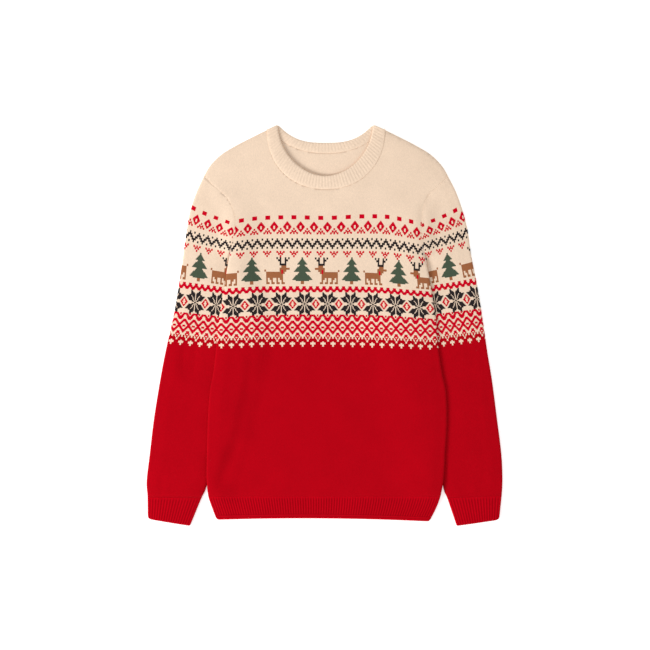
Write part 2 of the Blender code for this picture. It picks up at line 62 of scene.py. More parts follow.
WALL = 2.2                # knitted wall
CLOSED_GAP = 0.4          # space between two layers at a folded or sewn edge
LAID_GAP = 1.8            # and a little way in from that edge
LAID_GAP_REACH = 24.0     # which is this far
PUFF = 1.2                # further rise of the front in the middle of the body
PUFF_REACH = 130.0        # over this length
ROUNDING = 4.4            # width of the rounded edge at a fold

LIFT = 6.4                # height of the body where a sleeve lies under it
LIFT_SHELF = 8.0          # it keeps that height for this far past the sleeve
LIFT_SLOPES = {-1: 50.0, 1: 90.0}   # and comes down over this length, on each side
LIFT_END_Y = -284.0       # below this level it also comes down towards the hem
LIFT_END_SLOPE = 44.0
SLEEVE_DROP = 30.0        # a sleeve comes down from the armhole seam over this length
BESIDE = 1.0              # the top of a sleeve lies this far beside the armhole edge
BESIDE_ROW = 3            # down to this row of its table

HEM_TOP_Y = -300.0
HEM_EDGE_RIGHT_Y = -341.2
HEM_EDGE_LEFT_Y = -343.8
HEM_ARCH = 3.5            # how far the middle of the hem's edge is drawn up
UNDERARM_Y = 137.8

NeckShape = namedtuple("NeckShape", "middle_x half_width top_y depth across_power depth_power")
FRONT_NECK_SEAM = NeckShape(
    middle_x=2.5, half_width=102.4, top_y=341.7, depth=103.7, across_power=2.15, depth_power=0.465
)
BACK_NECK_SEAM = FRONT_NECK_SEAM._replace(depth=40.3, across_power=2.25, depth_power=1.0)
FRONT_NECK_EDGE = NeckShape(
    middle_x=1.5, half_width=83.2, top_y=350.6, depth=89.8, across_power=1.88, depth_power=0.53
)
BACK_NECK_EDGE = FRONT_NECK_EDGE._replace(depth=31.7, across_power=2.9, depth_power=1.0)

BAND_WALL = 2.6
FRONT_BAND_LOWEST = 3.5
BAND_RIB_HEIGHT = 0.38
BACK_BAND_RIB_HEIGHT = 0.3
FRONT_BAND_RIBS = 56
BACK_BAND_RIBS = 36
HEM_RIBS = 88
HEM_RIB_HEIGHT = 0.9
CUFF_RIBS = 18
CUFF_RIB_HEIGHT = 0.8

# The side edges of the body: x_min is the wearer's right side, x_max the left
BODY_ROWS = table(
    "y x_min x_max",
    (-342.0, -189.0, 185.0),
    (-320.0, -197.2, 196.0),
    (-300.0, -203.3, 202.8),
    (-268.0, -206.2, 208.2),
    (-224.0, -205.7, 210.8),
    (-166.0, -204.0, 213.9),
    (-114.0, -200.3, 211.8),
    (-84.0, -194.5, 205.5),
    (-32.0, -188.7, 198.0),
    (8.0, -185.3, 195.0),
    (38.0, -179.7, 190.5),
    (60.0, -176.0, 187.2),
    (96.0, -170.6, 180.6),
    (134.0, -162.8, 171.6),
    (160.0, -158.5, 169.7),
    (187.0, -156.4, 171.0),
    (213.0, -165.0, 174.5),
    (231.0, -179.5, 184.5),
    (241.0, -191.7, 196.8),
    (261.0, -211.0, 216.0),
)

# The shoulder line, by its distance out from the middle of the neck
SHOULDER_ROWS = table(
    "out y",
    (102.4, 341.7),
    (117.0, 334.5),
    (130.0, 328.0),
    (153.0, 316.3),
    (178.0, 301.8),
    (192.0, 290.4),
    (205.0, 275.7),
    (213.5, 261.0),
)

# Lines across a sleeve, from the shoulder to the end of the cuff: where the outer fold of
# each sleeve lies, the level of the inner fold, and how far that reaches under the body
SLEEVE_ROWS = table(
    "row right_x right_y left_x left_y inner_y under",
    (0, -211.0, 261.0, 216.0, 261.0, 137.8, -1.0),
    (1, -224.2, 232.3, 229.7, 234.1, 129.0, -1.0),
    (2, -235.5, 199.1, 241.1, 202.6, 118.5, -1.0),
    (3, -241.8, 164.1, 250.7, 165.8, 106.3, -1.0),
    (4, -248.2, 116.8, 257.2, 120.3, 83.6, 14.0),
    (5, -255.6, 67.8, 267.3, 69.6, 43.3, 36.0),
    (6, -264.3, 17.1, 276.1, 17.1, -4.0, 49.0),
    (7, -278.0, -44.2, 284.8, -44.2, -60.0, 46.0),
    (8, -288.0, -96.7, 293.4, -96.7, -111.6, 40.0),
    (9, -299.0, -165.0, 302.3, -165.0, -179.0, 29.0),
    (10, -306.3, -226.2, 309.7, -224.5, -239.3, 14.0),
    (11, -311.8, -274.0, 311.8, -268.2, -284.8, -2.0),
    (12, -310.2, -301.5, 310.5, -299.0, -303.0, -12.8),
    (13, -309.8, -338.2, 306.3, -339.6, -350.6, -46.0),
)
CUFF_TOP_ROW = 12
CUFF_END_ROW = 13

# Soft creases in the upper layer: a line, how wide and how deep it is (a ridge is negative)
CREASES = table(
    "x0 y0 x1 y1 width depth",
    (-198.0, 252.0, -207.0, 208.0, 9.0, 0.9),
    (188.0, 236.0, 173.0, 196.0, 7.0, 1.4),
    (171.5, 222.0, 171.0, 130.0, 7.0, 1.7),
    (171.0, 146.0, 177.0, 100.0, 7.0, 0.6),
    (220.0, 262.0, 192.0, 238.0, 6.0, -0.5),
    (-194.0, -300.0, -146.0, -186.0, 13.0, 3.8),
    (-180.0, 10.0, -181.0, -200.0, 15.0, -0.9),
    (-156.0, -216.0, -134.0, -106.0, 10.0, 1.1),
    (-137.0, -140.0, -126.0, -24.0, 10.0, 1.3),
    (85.0, -34.0, 92.0, -100.0, 13.0, 0.5),
    (52.0, -90.0, 60.0, -170.0, 16.0, 0.35),
    (166.0, -60.0, 164.0, -205.0, 15.0, -0.2),
    (182.0, -290.0, 150.0, -236.0, 11.0, 0.6),
    (-232.0, 6.0, -241.0, -108.0, 14.0, 2.7),
    (-283.0, -252.0, -290.0, -312.0, 7.0, 0.6),
    (268.0, -30.0, 252.0, -104.0, 10.0, 0.45),
    (286.0, -226.0, 270.0, -292.0, 9.0, 0.5),
)

# ---------------- the knitting

STITCH = 1.4445           # width of a stitch of the body
COURSE = 1.79375          # height of a course
MIDDLE_X = 4.8            # the middle stitch of the chart, on the body
PATTERN_TOP_Y = 190.84    # top of course 0 in the middle of the body
PATTERN_COURSES = 128
PLAIN_STEP = 4.0          # plain cloth has a row of faces for every fourth course
SHOULDER_STEP = 3.0       # and more of them up at the shoulders
BODY_HALF_STITCHES = 156  # stitches each way from the middle of the chart
BODY_TOP_COURSE = -104.0
HEM_COURSE = (PATTERN_TOP_Y - HEM_TOP_Y) / COURSE
PAST_HEM_SEAM = 6.0       # courses worked past the hem seam, where the cloth is cut off
WRONG_SIDE_CHANGE = 6     # inside, the lower half begins this many courses higher

# Where the courses of the body lie: drops are down from a straight course, shifts are
# towards the wearer's left, at the squares, the trees, the stars and the crosses
BODY_BENDS = table(
    "stitch drop_squares drop_trees drop_stars drop_crosses"
    " shift_squares shift_trees shift_stars shift_crosses",
    (-136, 15.0, 7.0, 8.0, 2.6, 0.0, -3.4, -4.4, -3.2),
    (-104, 5.2, 3.0, 4.8, 1.6, 0.3, -2.8, -3.0, -2.4),
    (-80, 0.6, 1.0, 2.8, 0.0, 0.0, -2.0, -0.8, -1.8),
    (-40, -0.8, 1.6, 1.3, -0.5, -0.6, -0.6, 0.0, -0.2),
    (0, 0.3, 1.8, 1.2, -0.5, 0.4, 0.0, 0.0, 1.4),
    (40, -2.4, 2.4, 1.4, 0.6, 2.8, -1.6, -0.8, 0.8),
    (72, -1.6, 4.6, 3.0, 1.8, 0.8, -4.4, -2.6, 0.0),
    (96, 4.4, 8.0, 5.6, 2.8, -2.4, -6.3, -2.8, -0.8),
    (120, 11.8, 11.5, 8.4, 4.3, -6.4, -7.5, -2.2, -2.4),
    (140, 16.0, 14.0, 11.0, 5.6, -9.0, -8.0, -2.0, -3.4),
)
SQUARES_COURSE = 2.0
TREES_COURSE = 52.0
STARS_COURSE = 85.0
CROSSES_COURSE = 125.0

# Where the courses of a sleeve lie: each starts at a level of the outer fold and runs in
# with a tilt, in degrees, that eases by the bend with each millimetre. At the fold the
# chart has reached the stitch fold_stitch.
SLEEVE_COURSE_COLUMNS = "course fold_y tilt bend fold_stitch stitch_width"
SLEEVE_COURSES = {
    "right": table(
        SLEEVE_COURSE_COLUMNS,
        (-32.0, 264.0, 42.0, 0.20, 4.4, 1.335),
        (2.0, 206.2, 28.0, 0.18, 4.4, 1.335),
        (37.0, 138.3, 14.0, 0.06, 7.2, 1.335),
        (85.0, 43.5, 6.5, 0.00, 3.6, 1.33),
        (125.0, -27.4, 6.0, 0.00, 2.0, 1.415),
        (276.0, -301.5, 1.0, 0.00, 2.0, 1.375),
        (300.0, -345.0, 1.0, 0.00, 2.0, 1.375),
    ),
    "left": table(
        SLEEVE_COURSE_COLUMNS,
        (-32.0, 264.0, 42.0, 0.20, -1.8, 1.33),
        (2.0, 206.4, 31.0, 0.19, -1.8, 1.33),
        (37.0, 143.4, 21.0, 0.17, -3.4, 1.26),
        (85.0, 49.0, 8.6, 0.03, -3.2, 1.31),
        (125.0, -23.2, 7.3, 0.00, -3.8, 1.28),
        (276.0, -299.0, 1.0, 0.00, -3.8, 1.30),
        (300.0, -343.0, 1.0, 0.00, -3.8, 1.30),
    ),
}
COURSE_BEND_REACH = 60.0  # the tilt of a course eases over this far from the fold
SLEEVE_STITCHES = (-12, 114)
SLEEVE_COURSE_RANGE = (-40.0, 294.0)

# The chart. A letter is a stitch and a line is a course: r pattern red, n near-black,
# g green, b brown, s the red of the lower half, and a point leaves the ground as it is.
SQUARE = ("rrrrrr",) * 4
DIAMOND = (
    "....rr....",
    "...rrrr...",
    "..rrrrrr..",
    ".rrrrrrrr.",
    "rrrr..rrrr",
    "rrrr..rrrr",
    ".rrr..rrr.",
    "..rrrrrr..",
    "...rrrr...",
    "....rr....",
)
ZIGZAG = (
    "..rrrr..",
    "..rrrr..",
    ".rrrrrr.",
    "rrrrrrrr",
    "rrr..rrr",
    "rr....rr",
)
SMALL_DIAMOND = (
    "....rr....",
    "...rrrr...",
    "..rr..rr..",
    ".rrr..rrr.",
    "rrr....rrr",
    ".rrr..rrr.",
    "..rr..rr..",
    "...rrrr...",
    "....rr....",
)
DOTS_UP = (
    "....rr....",
    "....rr....",
    "..rr..rr..",
    "..rrrrrr..",
    "rrr.rr.rrr",
    "rr..rr..rr",
)

# Charts of double stitches and courses
WAVE = ("n..n..", "nn...n", ".nn.nn", "..nnn.", "n..n..")
STAG = (
    "n.n..n.n.......",
    ".nn..nn........",
    "..n..n.........",
    "..nnnn.........",
    "..bbb..........",
    "bbbbbb.........",
    "..bbrb........b",
    "...brbbbbbbbbb.",
    "....bbbbbbbbbb.",
    "....bbbbbbbbbb.",
    "....bb.b..bb.b.",
    "....b..b..b..b.",
    "...bb.bb.bb.bb.",
)

# Charts of one half, from the middle of the motif outwards
TREE_WIDTHS = (1, 1, 2, 3, 4, 5, 6, 3, 4, 6, 7, 8, 9, 10, 4, 5, 6, 8, 9, 10, 11, 12, 8)
TREE = tuple("g" * width + "." * (12 - width) for width in TREE_WIDTHS) + ("bb..........",) * 3
LATTICE = (
    "rrr..r",
    "rrrr.r",
    ".rrrr.",
    "..rrrr",
    "..rrrr",
    "...rrr",
    "rr..rr",
    "rrr...",
    "rrrr..",
    ".rrrr.",
    "..rrrr",
    "...rrr",
    "rr..rr",
    "rr.rrr",
    "..rrrr",
    ".rrrr.",
    "rrrr..",
    "rrr...",
    "rr..rr",
    "r...rr",
    "...rrr",
    "...rr.",
    ".ss.rr",
    ".ss..r",
    "ssss.s",
    "sssss.",
    "sssss.",
    ".sssss",
    "...sss",
    "...sss",
    ".sssss",
    ".sssss",
)

# The star begins at its middle stitch, so half of it shares that stitch with the other
STAR_TOP = (
    ".....nn......",
    "....nnn......",
    "..nnnnn......",
    ".nnnnnn......",
    ".nnnnnnnn....",
    ".nnnn.nnnnnnn",
    ".nnn.nnnnnnn.",
    ".nn.nnnnnnn..",
    ".nn.nnnnnn...",
    ".n.nnnnnn....",
    "n.nnn........",
)
STAR_MIDDLE = ("nn...........",)


def doubled(chart):
    """Every stitch and every course of a chart twice."""
    return tuple("".join(letter * 2 for letter in row) for row in chart for _ in range(2))


def opened(half, shared=0):
    """The whole chart from its half, which runs from the middle outwards."""
    return tuple(row[:0:-1] + row if shared else row[::-1] + row for row in half)


def turned(chart):
    return tuple(row[::-1] for row in chart)


# middle is the stitch where the right half of the motif begins
Motif = namedtuple("Motif", "chart first_course middle repeat")
MOTIFS = (
    Motif(SQUARE, first_course=0, middle=8, repeat=16),
    Motif(DIAMOND, first_course=6, middle=0, repeat=16),
    Motif(DOTS_UP, first_course=12, middle=8, repeat=16),
    Motif(doubled(WAVE), first_course=22, middle=5, repeat=12),
    Motif(DOTS_UP[::-1], first_course=34, middle=8, repeat=16),
    Motif(opened(TREE), first_course=40, middle=30, repeat=60),
    Motif(doubled(STAG), first_course=40, middle=0, repeat=120),
    Motif(turned(doubled(STAG)), first_course=40, middle=60, repeat=120),
    Motif(ZIGZAG, first_course=68, middle=4, repeat=8),
    Motif(opened(STAR_TOP + STAR_MIDDLE + STAR_TOP[::-1], shared=1), first_course=74, middle=0, repeat=28),
    Motif(SMALL_DIAMOND, first_course=81, middle=14, repeat=28),
    Motif(opened(LATTICE), first_course=96, middle=6, repeat=12),
)

# Colours of the yarns as they look in the cloth
CREAM = (241, 215, 190)
RED = (180, 2, 19)
# the ribs' red is lighter than RED, to make up for the painted shade in the grooves of the ribs
RIB_RED = (190, 2, 21)
YARNS = {
    ".": CREAM,
    "s": RED,
    "r": (204, 1, 33),
    "n": (43, 37, 38),
    "g": (74, 87, 70),
    "b": (161, 101, 66),
}


# ---------------- plain arithmetic

def eased(t):
    """0 to 1 with a soft start and a soft end."""
    t = np.clip(t, 0.0, 1.0)
    return t * t * (3.0 - 2.0 * t)


def between(a, b, t):
    return a + (b - a) * t


def curve_from(rows, along, column):
    """A smooth curve through one column of a table, read by another column of it."""
    rows = sorted(rows, key=lambda row: getattr(row, along))
    at_knots = np.array([getattr(row, along) for row in rows], float)
    values = np.array([getattr(row, column) for row in rows], float)
    last = len(rows) - 1
    low = np.maximum(np.arange(last + 1) - 1, 0)
    high = np.minimum(np.arange(last + 1) + 1, last)
    slopes = (values[high] - values[low]) / (at_knots[high] - at_knots[low])

    def value(at):
        at = np.clip(at, at_knots[0], at_knots[-1])
        i = np.clip(np.searchsorted(at_knots, at, side="right") - 1, 0, last - 1)
        span = at_knots[i + 1] - at_knots[i]
        t = (at - at_knots[i]) / span
        rise = values[i + 1] - values[i]
        bend_in = slopes[i] * span - rise
        bend_out = rise - slopes[i + 1] * span
        return values[i] + rise * t + t * (1.0 - t) * (bend_in * (1.0 - t) + bend_out * t)

    return value


def evenly_spaced(points, count):
    """Resample a line of points into count points at even steps along it."""
    steps = np.linalg.norm(np.diff(points, axis=0), axis=1)
    lengths = np.concatenate([[0.0], np.cumsum(steps)])
    targets = np.linspace(0.0, lengths[-1], count)
    return np.stack([np.interp(targets, lengths, points[:, k]) for k in range(points.shape[1])], 1)


NEAREST_BLOCK = 4096      # points looked at in one go


def nearest_on(line, points):
    """For each point: how far a line of points is, the nearest place on it, and the
    direction to its left there."""
    run = np.diff(line, axis=0)
    real = (run ** 2).sum(1) > 0.0
    start = line[:-1][real]
    run = run[real]
    squared = (run ** 2).sum(1)
    left = np.stack([-run[:, 1], run[:, 0]], 1) / np.sqrt(squared)[:, None]
    distances = np.empty(len(points))
    places = np.empty((len(points), 2))
    lefts = np.empty((len(points), 2))
    for first in range(0, len(points), NEAREST_BLOCK):
        block = slice(first, first + NEAREST_BLOCK)
        some = points[block]
        offset = some[:, None] - start[None]
        t = np.clip((offset * run).sum(2) / squared, 0.0, 1.0)
        spots = start + run * t[..., None]
        gaps = ((some[:, None] - spots) ** 2).sum(2)
        pick = gaps.argmin(1)
        rows = np.arange(len(some))
        distances[block] = np.sqrt(gaps[rows, pick])
        places[block] = spots[rows, pick]
        lefts[block] = left[pick]
    return distances, places, lefts


def inside_of(outline, points):
    """Which points lie inside a closed outline."""
    found = np.zeros(len(points), bool)
    x = points[:, 0]
    y = points[:, 1]
    for (ax, ay), (bx, by) in zip(outline[:-1], outline[1:]):
        if ay != by:
            crosses = (ay > y) != (by > y)
            found ^= crosses & (x < ax + (y - ay) / (by - ay) * (bx - ax))
    return found


def linear(colour):
    """A colour of 0 to 255 as the light that it sends back."""
    c = np.array(colour, float) / 255.0
    return np.where(c <= 0.04045, c / 12.92, ((c + 0.055) / 1.055) ** 2.4)


# ---------------- outlines of the pieces

right_side_x = curve_from(BODY_ROWS, "y", "x_min")
left_side_x = curve_from(BODY_ROWS, "y", "x_max")
shoulder_y = curve_from(SHOULDER_ROWS, "out", "y")
hidden_reach = curve_from(SLEEVE_ROWS, "inner_y", "under")
SHOULDER_TIP_Y = SHOULDER_ROWS[-1].y
OUTLINE_STEP = 3.0        # side seams are lines of points about this far apart
NECK_FINE_POINTS = 1201   # points of a neckline before they are spaced evenly
NECK_POINTS = 120         # and how many points the lines of an outline have
SHOULDER_POINTS = 40
HEM_SEAM_POINTS = 140
FOLD_POINTS = 200
CUFF_SEAM_POINTS = 30


def side_x(side, y):
    """The side edge of the body, and above the underarm the armhole edge."""
    return right_side_x(y) if side < 0 else left_side_x(y)


def side_line(side, low, high):
    """The side edge of the body between two levels, upwards."""
    y = np.linspace(low, high, max(2, int((high - low) / OUTLINE_STEP)))
    return np.stack([side_x(side, y), y], 1)


def hem_edge_y(x):
    """The bottom of the hem, a little lower towards the wearer's left."""
    start = side_x(-1, HEM_EDGE_RIGHT_Y)
    end = side_x(1, HEM_EDGE_LEFT_Y)
    share = (x - start) / (end - start)
    arch = 4.0 * share * (1.0 - share)
    return between(HEM_EDGE_RIGHT_Y, HEM_EDGE_LEFT_Y, share) + HEM_ARCH * arch


def neck_curve(shape, count):
    """A curve of the neckline from the right shoulder to the left one, at even steps."""
    fine = np.linspace(0.0, math.pi, NECK_FINE_POINTS)
    across = -np.cos(fine)
    arch = (1.0 - np.abs(across) ** shape.across_power).clip(0.0) ** shape.depth_power
    points = np.stack([shape.middle_x + shape.half_width * across, shape.top_y - shape.depth * arch], 1)
    return evenly_spaced(points, count)


def shoulder_line(side):
    """The shoulder from the tip to the neck."""
    out = np.linspace(SHOULDER_ROWS[-1].out, SHOULDER_ROWS[0].out, SHOULDER_POINTS)
    return np.stack([FRONT_NECK_SEAM.middle_x + side * out, shoulder_y(out)], 1)


def body_outline(neck_seam):
    """The whole edge of a panel, from the right end of the hem seam round by the left."""
    parts = [
        side_line(-1, HEM_TOP_Y, SHOULDER_TIP_Y),
        shoulder_line(-1),
        neck_curve(neck_seam, NECK_POINTS),
        shoulder_line(1)[::-1],
        side_line(1, HEM_TOP_Y, SHOULDER_TIP_Y)[::-1],
    ]
    ring = np.vstack(parts)
    hem_x = np.linspace(ring[-1, 0], ring[0, 0], HEM_SEAM_POINTS)
    hem = np.stack([hem_x, np.full(HEM_SEAM_POINTS, HEM_TOP_Y)], 1)
    return np.vstack([ring, hem])


def sleeve_edges(side_name, rows):
    """The outer and the inner edge of a sleeve at some rows of its table."""
    side = SIDES[side_name]
    outer = [curve_from(SLEEVE_ROWS, "row", side_name + axis)(rows) for axis in ("_x", "_y")]
    inner_y = curve_from(SLEEVE_ROWS, "row", "inner_y")(rows)
    under = curve_from(SLEEVE_ROWS, "row", "under")(rows)
    under = np.where(rows <= BESIDE_ROW, -BESIDE, under)
    return np.stack(outer, 1), np.stack([side_x(side, inner_y) - side * under, inner_y], 1)


class SleevePlan:
    """One sleeve seen from above: its folds, its armhole and its whole outline."""

    def __init__(self, side_name):
        self.side = SIDES[side_name]
        self.armhole = side_line(self.side, UNDERARM_Y, SHOULDER_TIP_Y)[::-1]
        self.outer, self.inner = sleeve_edges(side_name, np.linspace(0.0, CUFF_TOP_ROW, FOLD_POINTS))
        self.outer[0] = self.armhole[0]
        self.inner[0] = self.armhole[-1]
        cuff_seam = np.linspace(self.outer[-1], self.inner[-1], CUFF_SEAM_POINTS)
        self.outline = np.vstack([self.outer, cuff_seam, self.inner[::-1], self.armhole[::-1]])


# ---------------- heights of the layers

def armhole_lift(y):
    """How high the armhole seam lies: on the ground at the shoulder, up at the underarm."""
    return LIFT * eased((SHOULDER_TIP_Y - y) / (SHOULDER_TIP_Y - UNDERARM_Y))


def body_lift(xy):
    """Height of the underside of the body where a sleeve holds it up."""
    x, y = xy[:, 0], xy[:, 1]
    along_side = LIFT * (1.0 - eased((LIFT_END_Y - y) / LIFT_END_SLOPE))
    along = np.where(y > UNDERARM_Y, armhole_lift(y), along_side)
    total = 0.0
    for side in SIDES.values():
        inside = side * (side_x(side, y) - x)
        reach = np.where(y < UNDERARM_Y, np.maximum(hidden_reach(y), 0.0), 0.0)
        total = total + (1.0 - eased((inside - reach - LIFT_SHELF) / LIFT_SLOPES[side])) * along
    return total


def layer_gap(distance):
    """Space between the two layers of the cloth at a distance from a closed edge."""
    near = eased(distance / LAID_GAP_REACH)
    far = eased((distance - LAID_GAP_REACH) / PUFF_REACH)
    return CLOSED_GAP + (LAID_GAP - CLOSED_GAP) * near + PUFF * far


def rounded(distance, width=ROUNDING):
    """0 at an edge that is rounded like a fold, and 1 past its rounding."""
    t = np.clip(distance / width, 0.0, 1.0)
    return np.sqrt(1.0 - (1.0 - t) ** 2)


CREASE_ENDS = 1.5         # a crease fades out over a third of its length at each end


def crease(xy):
    """How far the creases push the upper layer down."""
    total = np.zeros(len(xy))
    for fold in CREASES:
        start = np.array((fold.x0, fold.y0))
        line = np.array((fold.x1, fold.y1)) - start
        offset = xy - start
        t = offset @ line / (line @ line)
        aside = np.linalg.norm(offset - np.clip(t, 0.0, 1.0)[:, None] * line, axis=1) / fold.width
        along = eased(CREASE_ENDS * (1.0 - np.abs(2.0 * t - 1.0)))
        total += fold.depth * along * np.exp(-aside ** 2)
    return total


SIDE_THINNED = 4          # distances are taken to every fourth point of a side seam
SHOULDER_THINNED = 3      # and to every third of a shoulder seam


def closed_edge_distance(xy):
    """Distance from a point of the body to the nearest side seam or shoulder seam."""
    lines = []
    for side in SIDES.values():
        shoulder = shoulder_line(side)
        lines.append(side_line(side, HEM_EDGE_LEFT_Y, UNDERARM_Y)[::SIDE_THINNED])
        lines.append(np.vstack([shoulder[::SHOULDER_THINNED], shoulder[-1:]]))
    return np.min([nearest_on(line, xy)[0] for line in lines], axis=0)


# ---------------- sheets and walls

SNAP = 0.25               # points nearer than this to an outline are drawn onto it
MERGE = 0.02              # points nearer than this are one
SLIVER = 0.6              # faces along an outline that are smaller than this are left out


def in_scene(name, data):
    """A mesh, a lamp or a camera as an object of the scene."""
    thing = bpy.data.objects.new(name, data)
    bpy.context.scene.collection.objects.link(thing)
    return thing


def distinct(faces):
    """Corners of faces that differ from the corner before."""
    return faces != np.roll(faces, 1, axis=1)


class Sheet:
    """A layer of cloth seen from above: points, faces, and the stitch and course of each."""

    def __init__(self, xy, stitches, columns, rows):
        self.xy = xy
        self.stitches = stitches
        first = (np.arange(rows - 1)[:, None] * columns + np.arange(columns - 1)).ravel()
        self.faces = np.stack([first, first + 1, first + 1 + columns, first + columns], 1)

    def cut_to(self, outline):
        """Drop what lies outside an outline, and draw the edge that is left out to it.

        Faces that end up as slivers along the outline are dropped too, because they would
        spoil the shading beside them.
        """
        distance, nearest, _ = nearest_on(outline, self.xy)
        holds = inside_of(outline, self.xy) & (distance > SNAP)
        corners = self.xy[self.faces]
        tests = [0.5 * (corners + np.roll(corners, 1, axis=1)), corners.mean(1, keepdims=True)]
        tests = np.concatenate(tests, axis=1)
        reaches = holds[self.faces].any(1)
        near = np.flatnonzero(~reaches)
        found = inside_of(outline, tests[near].reshape(-1, 2)).reshape(len(near), -1).any(1)
        reaches[near[found]] = True
        self.faces = self.faces[reaches]
        used = np.unique(self.faces)
        past = used[~holds[used]]
        self.xy[past] = nearest[past]
        spots = np.round(self.xy / MERGE).astype(np.int64)
        _, first, merged = np.unique(spots, axis=0, return_index=True, return_inverse=True)
        same = first[merged.reshape(-1)]
        self.faces = same[self.faces]
        self.faces = self.faces[distinct(self.faces).sum(1) > 2]
        x, y = np.moveaxis(self.xy[self.faces], 2, 0)
        area = 0.5 * np.abs((x * (np.roll(y, -1, axis=1) - np.roll(y, 1, axis=1))).sum(1))
        on_outline = ~np.isin(self.faces, same[holds]).any(1)
        self.faces = self.faces[~on_outline | (area > SLIVER)]
        used, faces = np.unique(self.faces, return_inverse=True)
        self.xy = self.xy[used]
        self.stitches = self.stitches[used]
        self.faces = faces.reshape(self.faces.shape)

    def flip(self):
        """Turn the faces over, where the grid runs the other way round."""
        self.faces = self.faces[:, ::-1]

    def rim(self):
        """The edges of faces along the rim of the sheet, as pairs of points."""
        a = self.faces.ravel()
        b = np.roll(self.faces, -1, axis=1).ravel()
        count = len(self.xy)
        known = set((b * count + a).tolist())
        pairs = zip(a.tolist(), b.tolist())
        return np.array([(i, j) for i, j in pairs if i != j and i * count + j not in known])


RIM_CELL = np.array(((0.1, 0.1), (0.9, 0.1), (0.9, 0.9), (0.1, 0.9)))
RIM_STITCHES = 0.5        # stitches on a face of a rim

# The parts of the map that the faces of a piece are laid out in: its outer side, its
# inner side and its rim, and for a tube both layers of each
PANEL_BOXES = ((0.01, 0.01, 0.64, 0.99), (0.66, 0.41, 0.99, 0.99), (0.66, 0.01, 0.99, 0.39))
RIB_BOXES = ((0.01, 0.36, 0.99, 0.99), (0.01, 0.11, 0.99, 0.34), (0.01, 0.01, 0.99, 0.09))
TUBE_BOXES = (
    (0.01, 0.01, 0.38, 0.99),
    (0.40, 0.01, 0.77, 0.99),
    (0.79, 0.51, 0.88, 0.99),
    (0.90, 0.51, 0.99, 0.99),
    (0.79, 0.01, 0.99, 0.49),
)


class Cloth:
    """The faces of one closed piece of cloth, sheet by sheet.

    Every face knows the stitch and course of its corners, its yarn, which side of the
    cloth it is on, and its place on the map that its finish is kept on.
    """

    def __init__(self):
        self.points = []
        self.parts = []

    def add_points(self, xy, heights):
        self.points.append(np.column_stack([xy, heights]))

    def add_faces(self, faces, stitches, places, box, yarn=None, relief=0.0, inside=0.0, smooth=True):
        """stitches and places hold two numbers for each corner of each face."""
        low = places.reshape(-1, 2).min(0)
        span = np.maximum(np.ptp(places.reshape(-1, 2), axis=0), 1e-9)
        left, bottom, right, top = box
        room = np.array((right - left, top - bottom))
        spots = np.array((left, bottom)) + (places - low) / span * room
        if yarn is None:
            yarn = np.tile(linear(CREAM), (len(faces), 1))
        self.parts.append((faces, stitches, spots, yarn, relief, inside, smooth))

    def add_rim(self, faces, box, yarn=None):
        """Faces of an edge, each with its own small place on the map."""
        count = len(faces)
        across = int(math.ceil(math.sqrt(count)))
        cell = np.stack([np.arange(count) % across, np.arange(count) // across], 1).astype(float)
        places = cell[:, None] + RIM_CELL[None]
        self.add_faces(faces, places * RIM_STITCHES, places, box, yarn, smooth=False)

    def build(self, name):
        """The piece as an object, with its place in its mesh."""
        points = np.vstack(self.points) * MM
        faces = np.vstack([part[0] for part in self.parts])
        corners = distinct(faces)
        sides = corners.sum(1)
        ends = np.cumsum(sides)[:-1]
        mesh = bpy.data.meshes.new(name)
        mesh.from_pydata(points.tolist(), [], [f.tolist() for f in np.split(faces[corners], ends)])
        for label, part in (("stitches", 1), ("OFBake", 2)):
            values = np.vstack([parts[part] for parts in self.parts])[corners]
            layer = mesh.uv_layers.new(name=label, do_init=False)
            layer.uv.foreach_set("vector", values.astype(np.float32).ravel())
        colours = np.vstack([part[3] for part in self.parts]).repeat(sides, axis=0)
        colours = np.column_stack([colours, np.ones(len(colours))])
        yarn = mesh.color_attributes.new("yarn", "FLOAT_COLOR", "CORNER")
        yarn.data.foreach_set("color", colours.astype(np.float32).ravel())
        inside = np.concatenate([np.full(len(part[0]), part[5]) for part in self.parts])
        attribute = mesh.attributes.new("wrong_side", "FLOAT", "FACE")
        attribute.data.foreach_set("value", inside.astype(np.float32))
        values = {label: np.zeros(len(points)) for label in ("relief", "wale", "course")}
        for own, stitches, _, _, relief, _, _ in self.parts:
            if np.any(relief):
                values["relief"][own.ravel()] = relief.ravel()
                values["wale"][own.ravel()] = stitches[..., 0].ravel()
                values["course"][own.ravel()] = stitches[..., 1].ravel()
        for label, numbers in values.items():
            attribute = mesh.attributes.new(label, "FLOAT", "POINT")
            attribute.data.foreach_set("value", numbers.astype(np.float32))
        smooth = np.concatenate([np.full(len(part[0]), part[6]) for part in self.parts])
        mesh.polygons.foreach_set("use_smooth", smooth)
        mesh.update()
        return in_scene(name, mesh)


# ---------------- the chart

def chart_letters(stitch, course):
    """The yarn of each stitch, as a letter of the chart."""
    letters = np.full(stitch.shape, ".")
    letters[course >= PATTERN_COURSES] = "s"
    for motif in MOTIFS:
        cells = np.array([list(row) for row in motif.chart])
        down = course - motif.first_course
        across = (stitch - motif.middle + cells.shape[1] // 2) % motif.repeat
        inside = (down >= 0) & (down < cells.shape[0]) & (across < cells.shape[1])
        found = cells[down[inside], across[inside]]
        letters[inside] = np.where(found == ".", letters[inside], found)
    return letters


def yarn_colours(stitches, faces, plain=False):
    """The colour of the yarn of each face; the wrong side is left in its ground colours."""
    middle = np.floor(stitches[faces].mean(1)).astype(int)
    if plain:
        letters = np.where(middle[:, 1] < PATTERN_COURSES - WRONG_SIDE_CHANGE, ".", "s")
    else:
        letters = chart_letters(middle[:, 0], middle[:, 1])
    colours = {letter: linear(colour) for letter, colour in YARNS.items()}
    return np.array([colours[letter] for letter in letters])


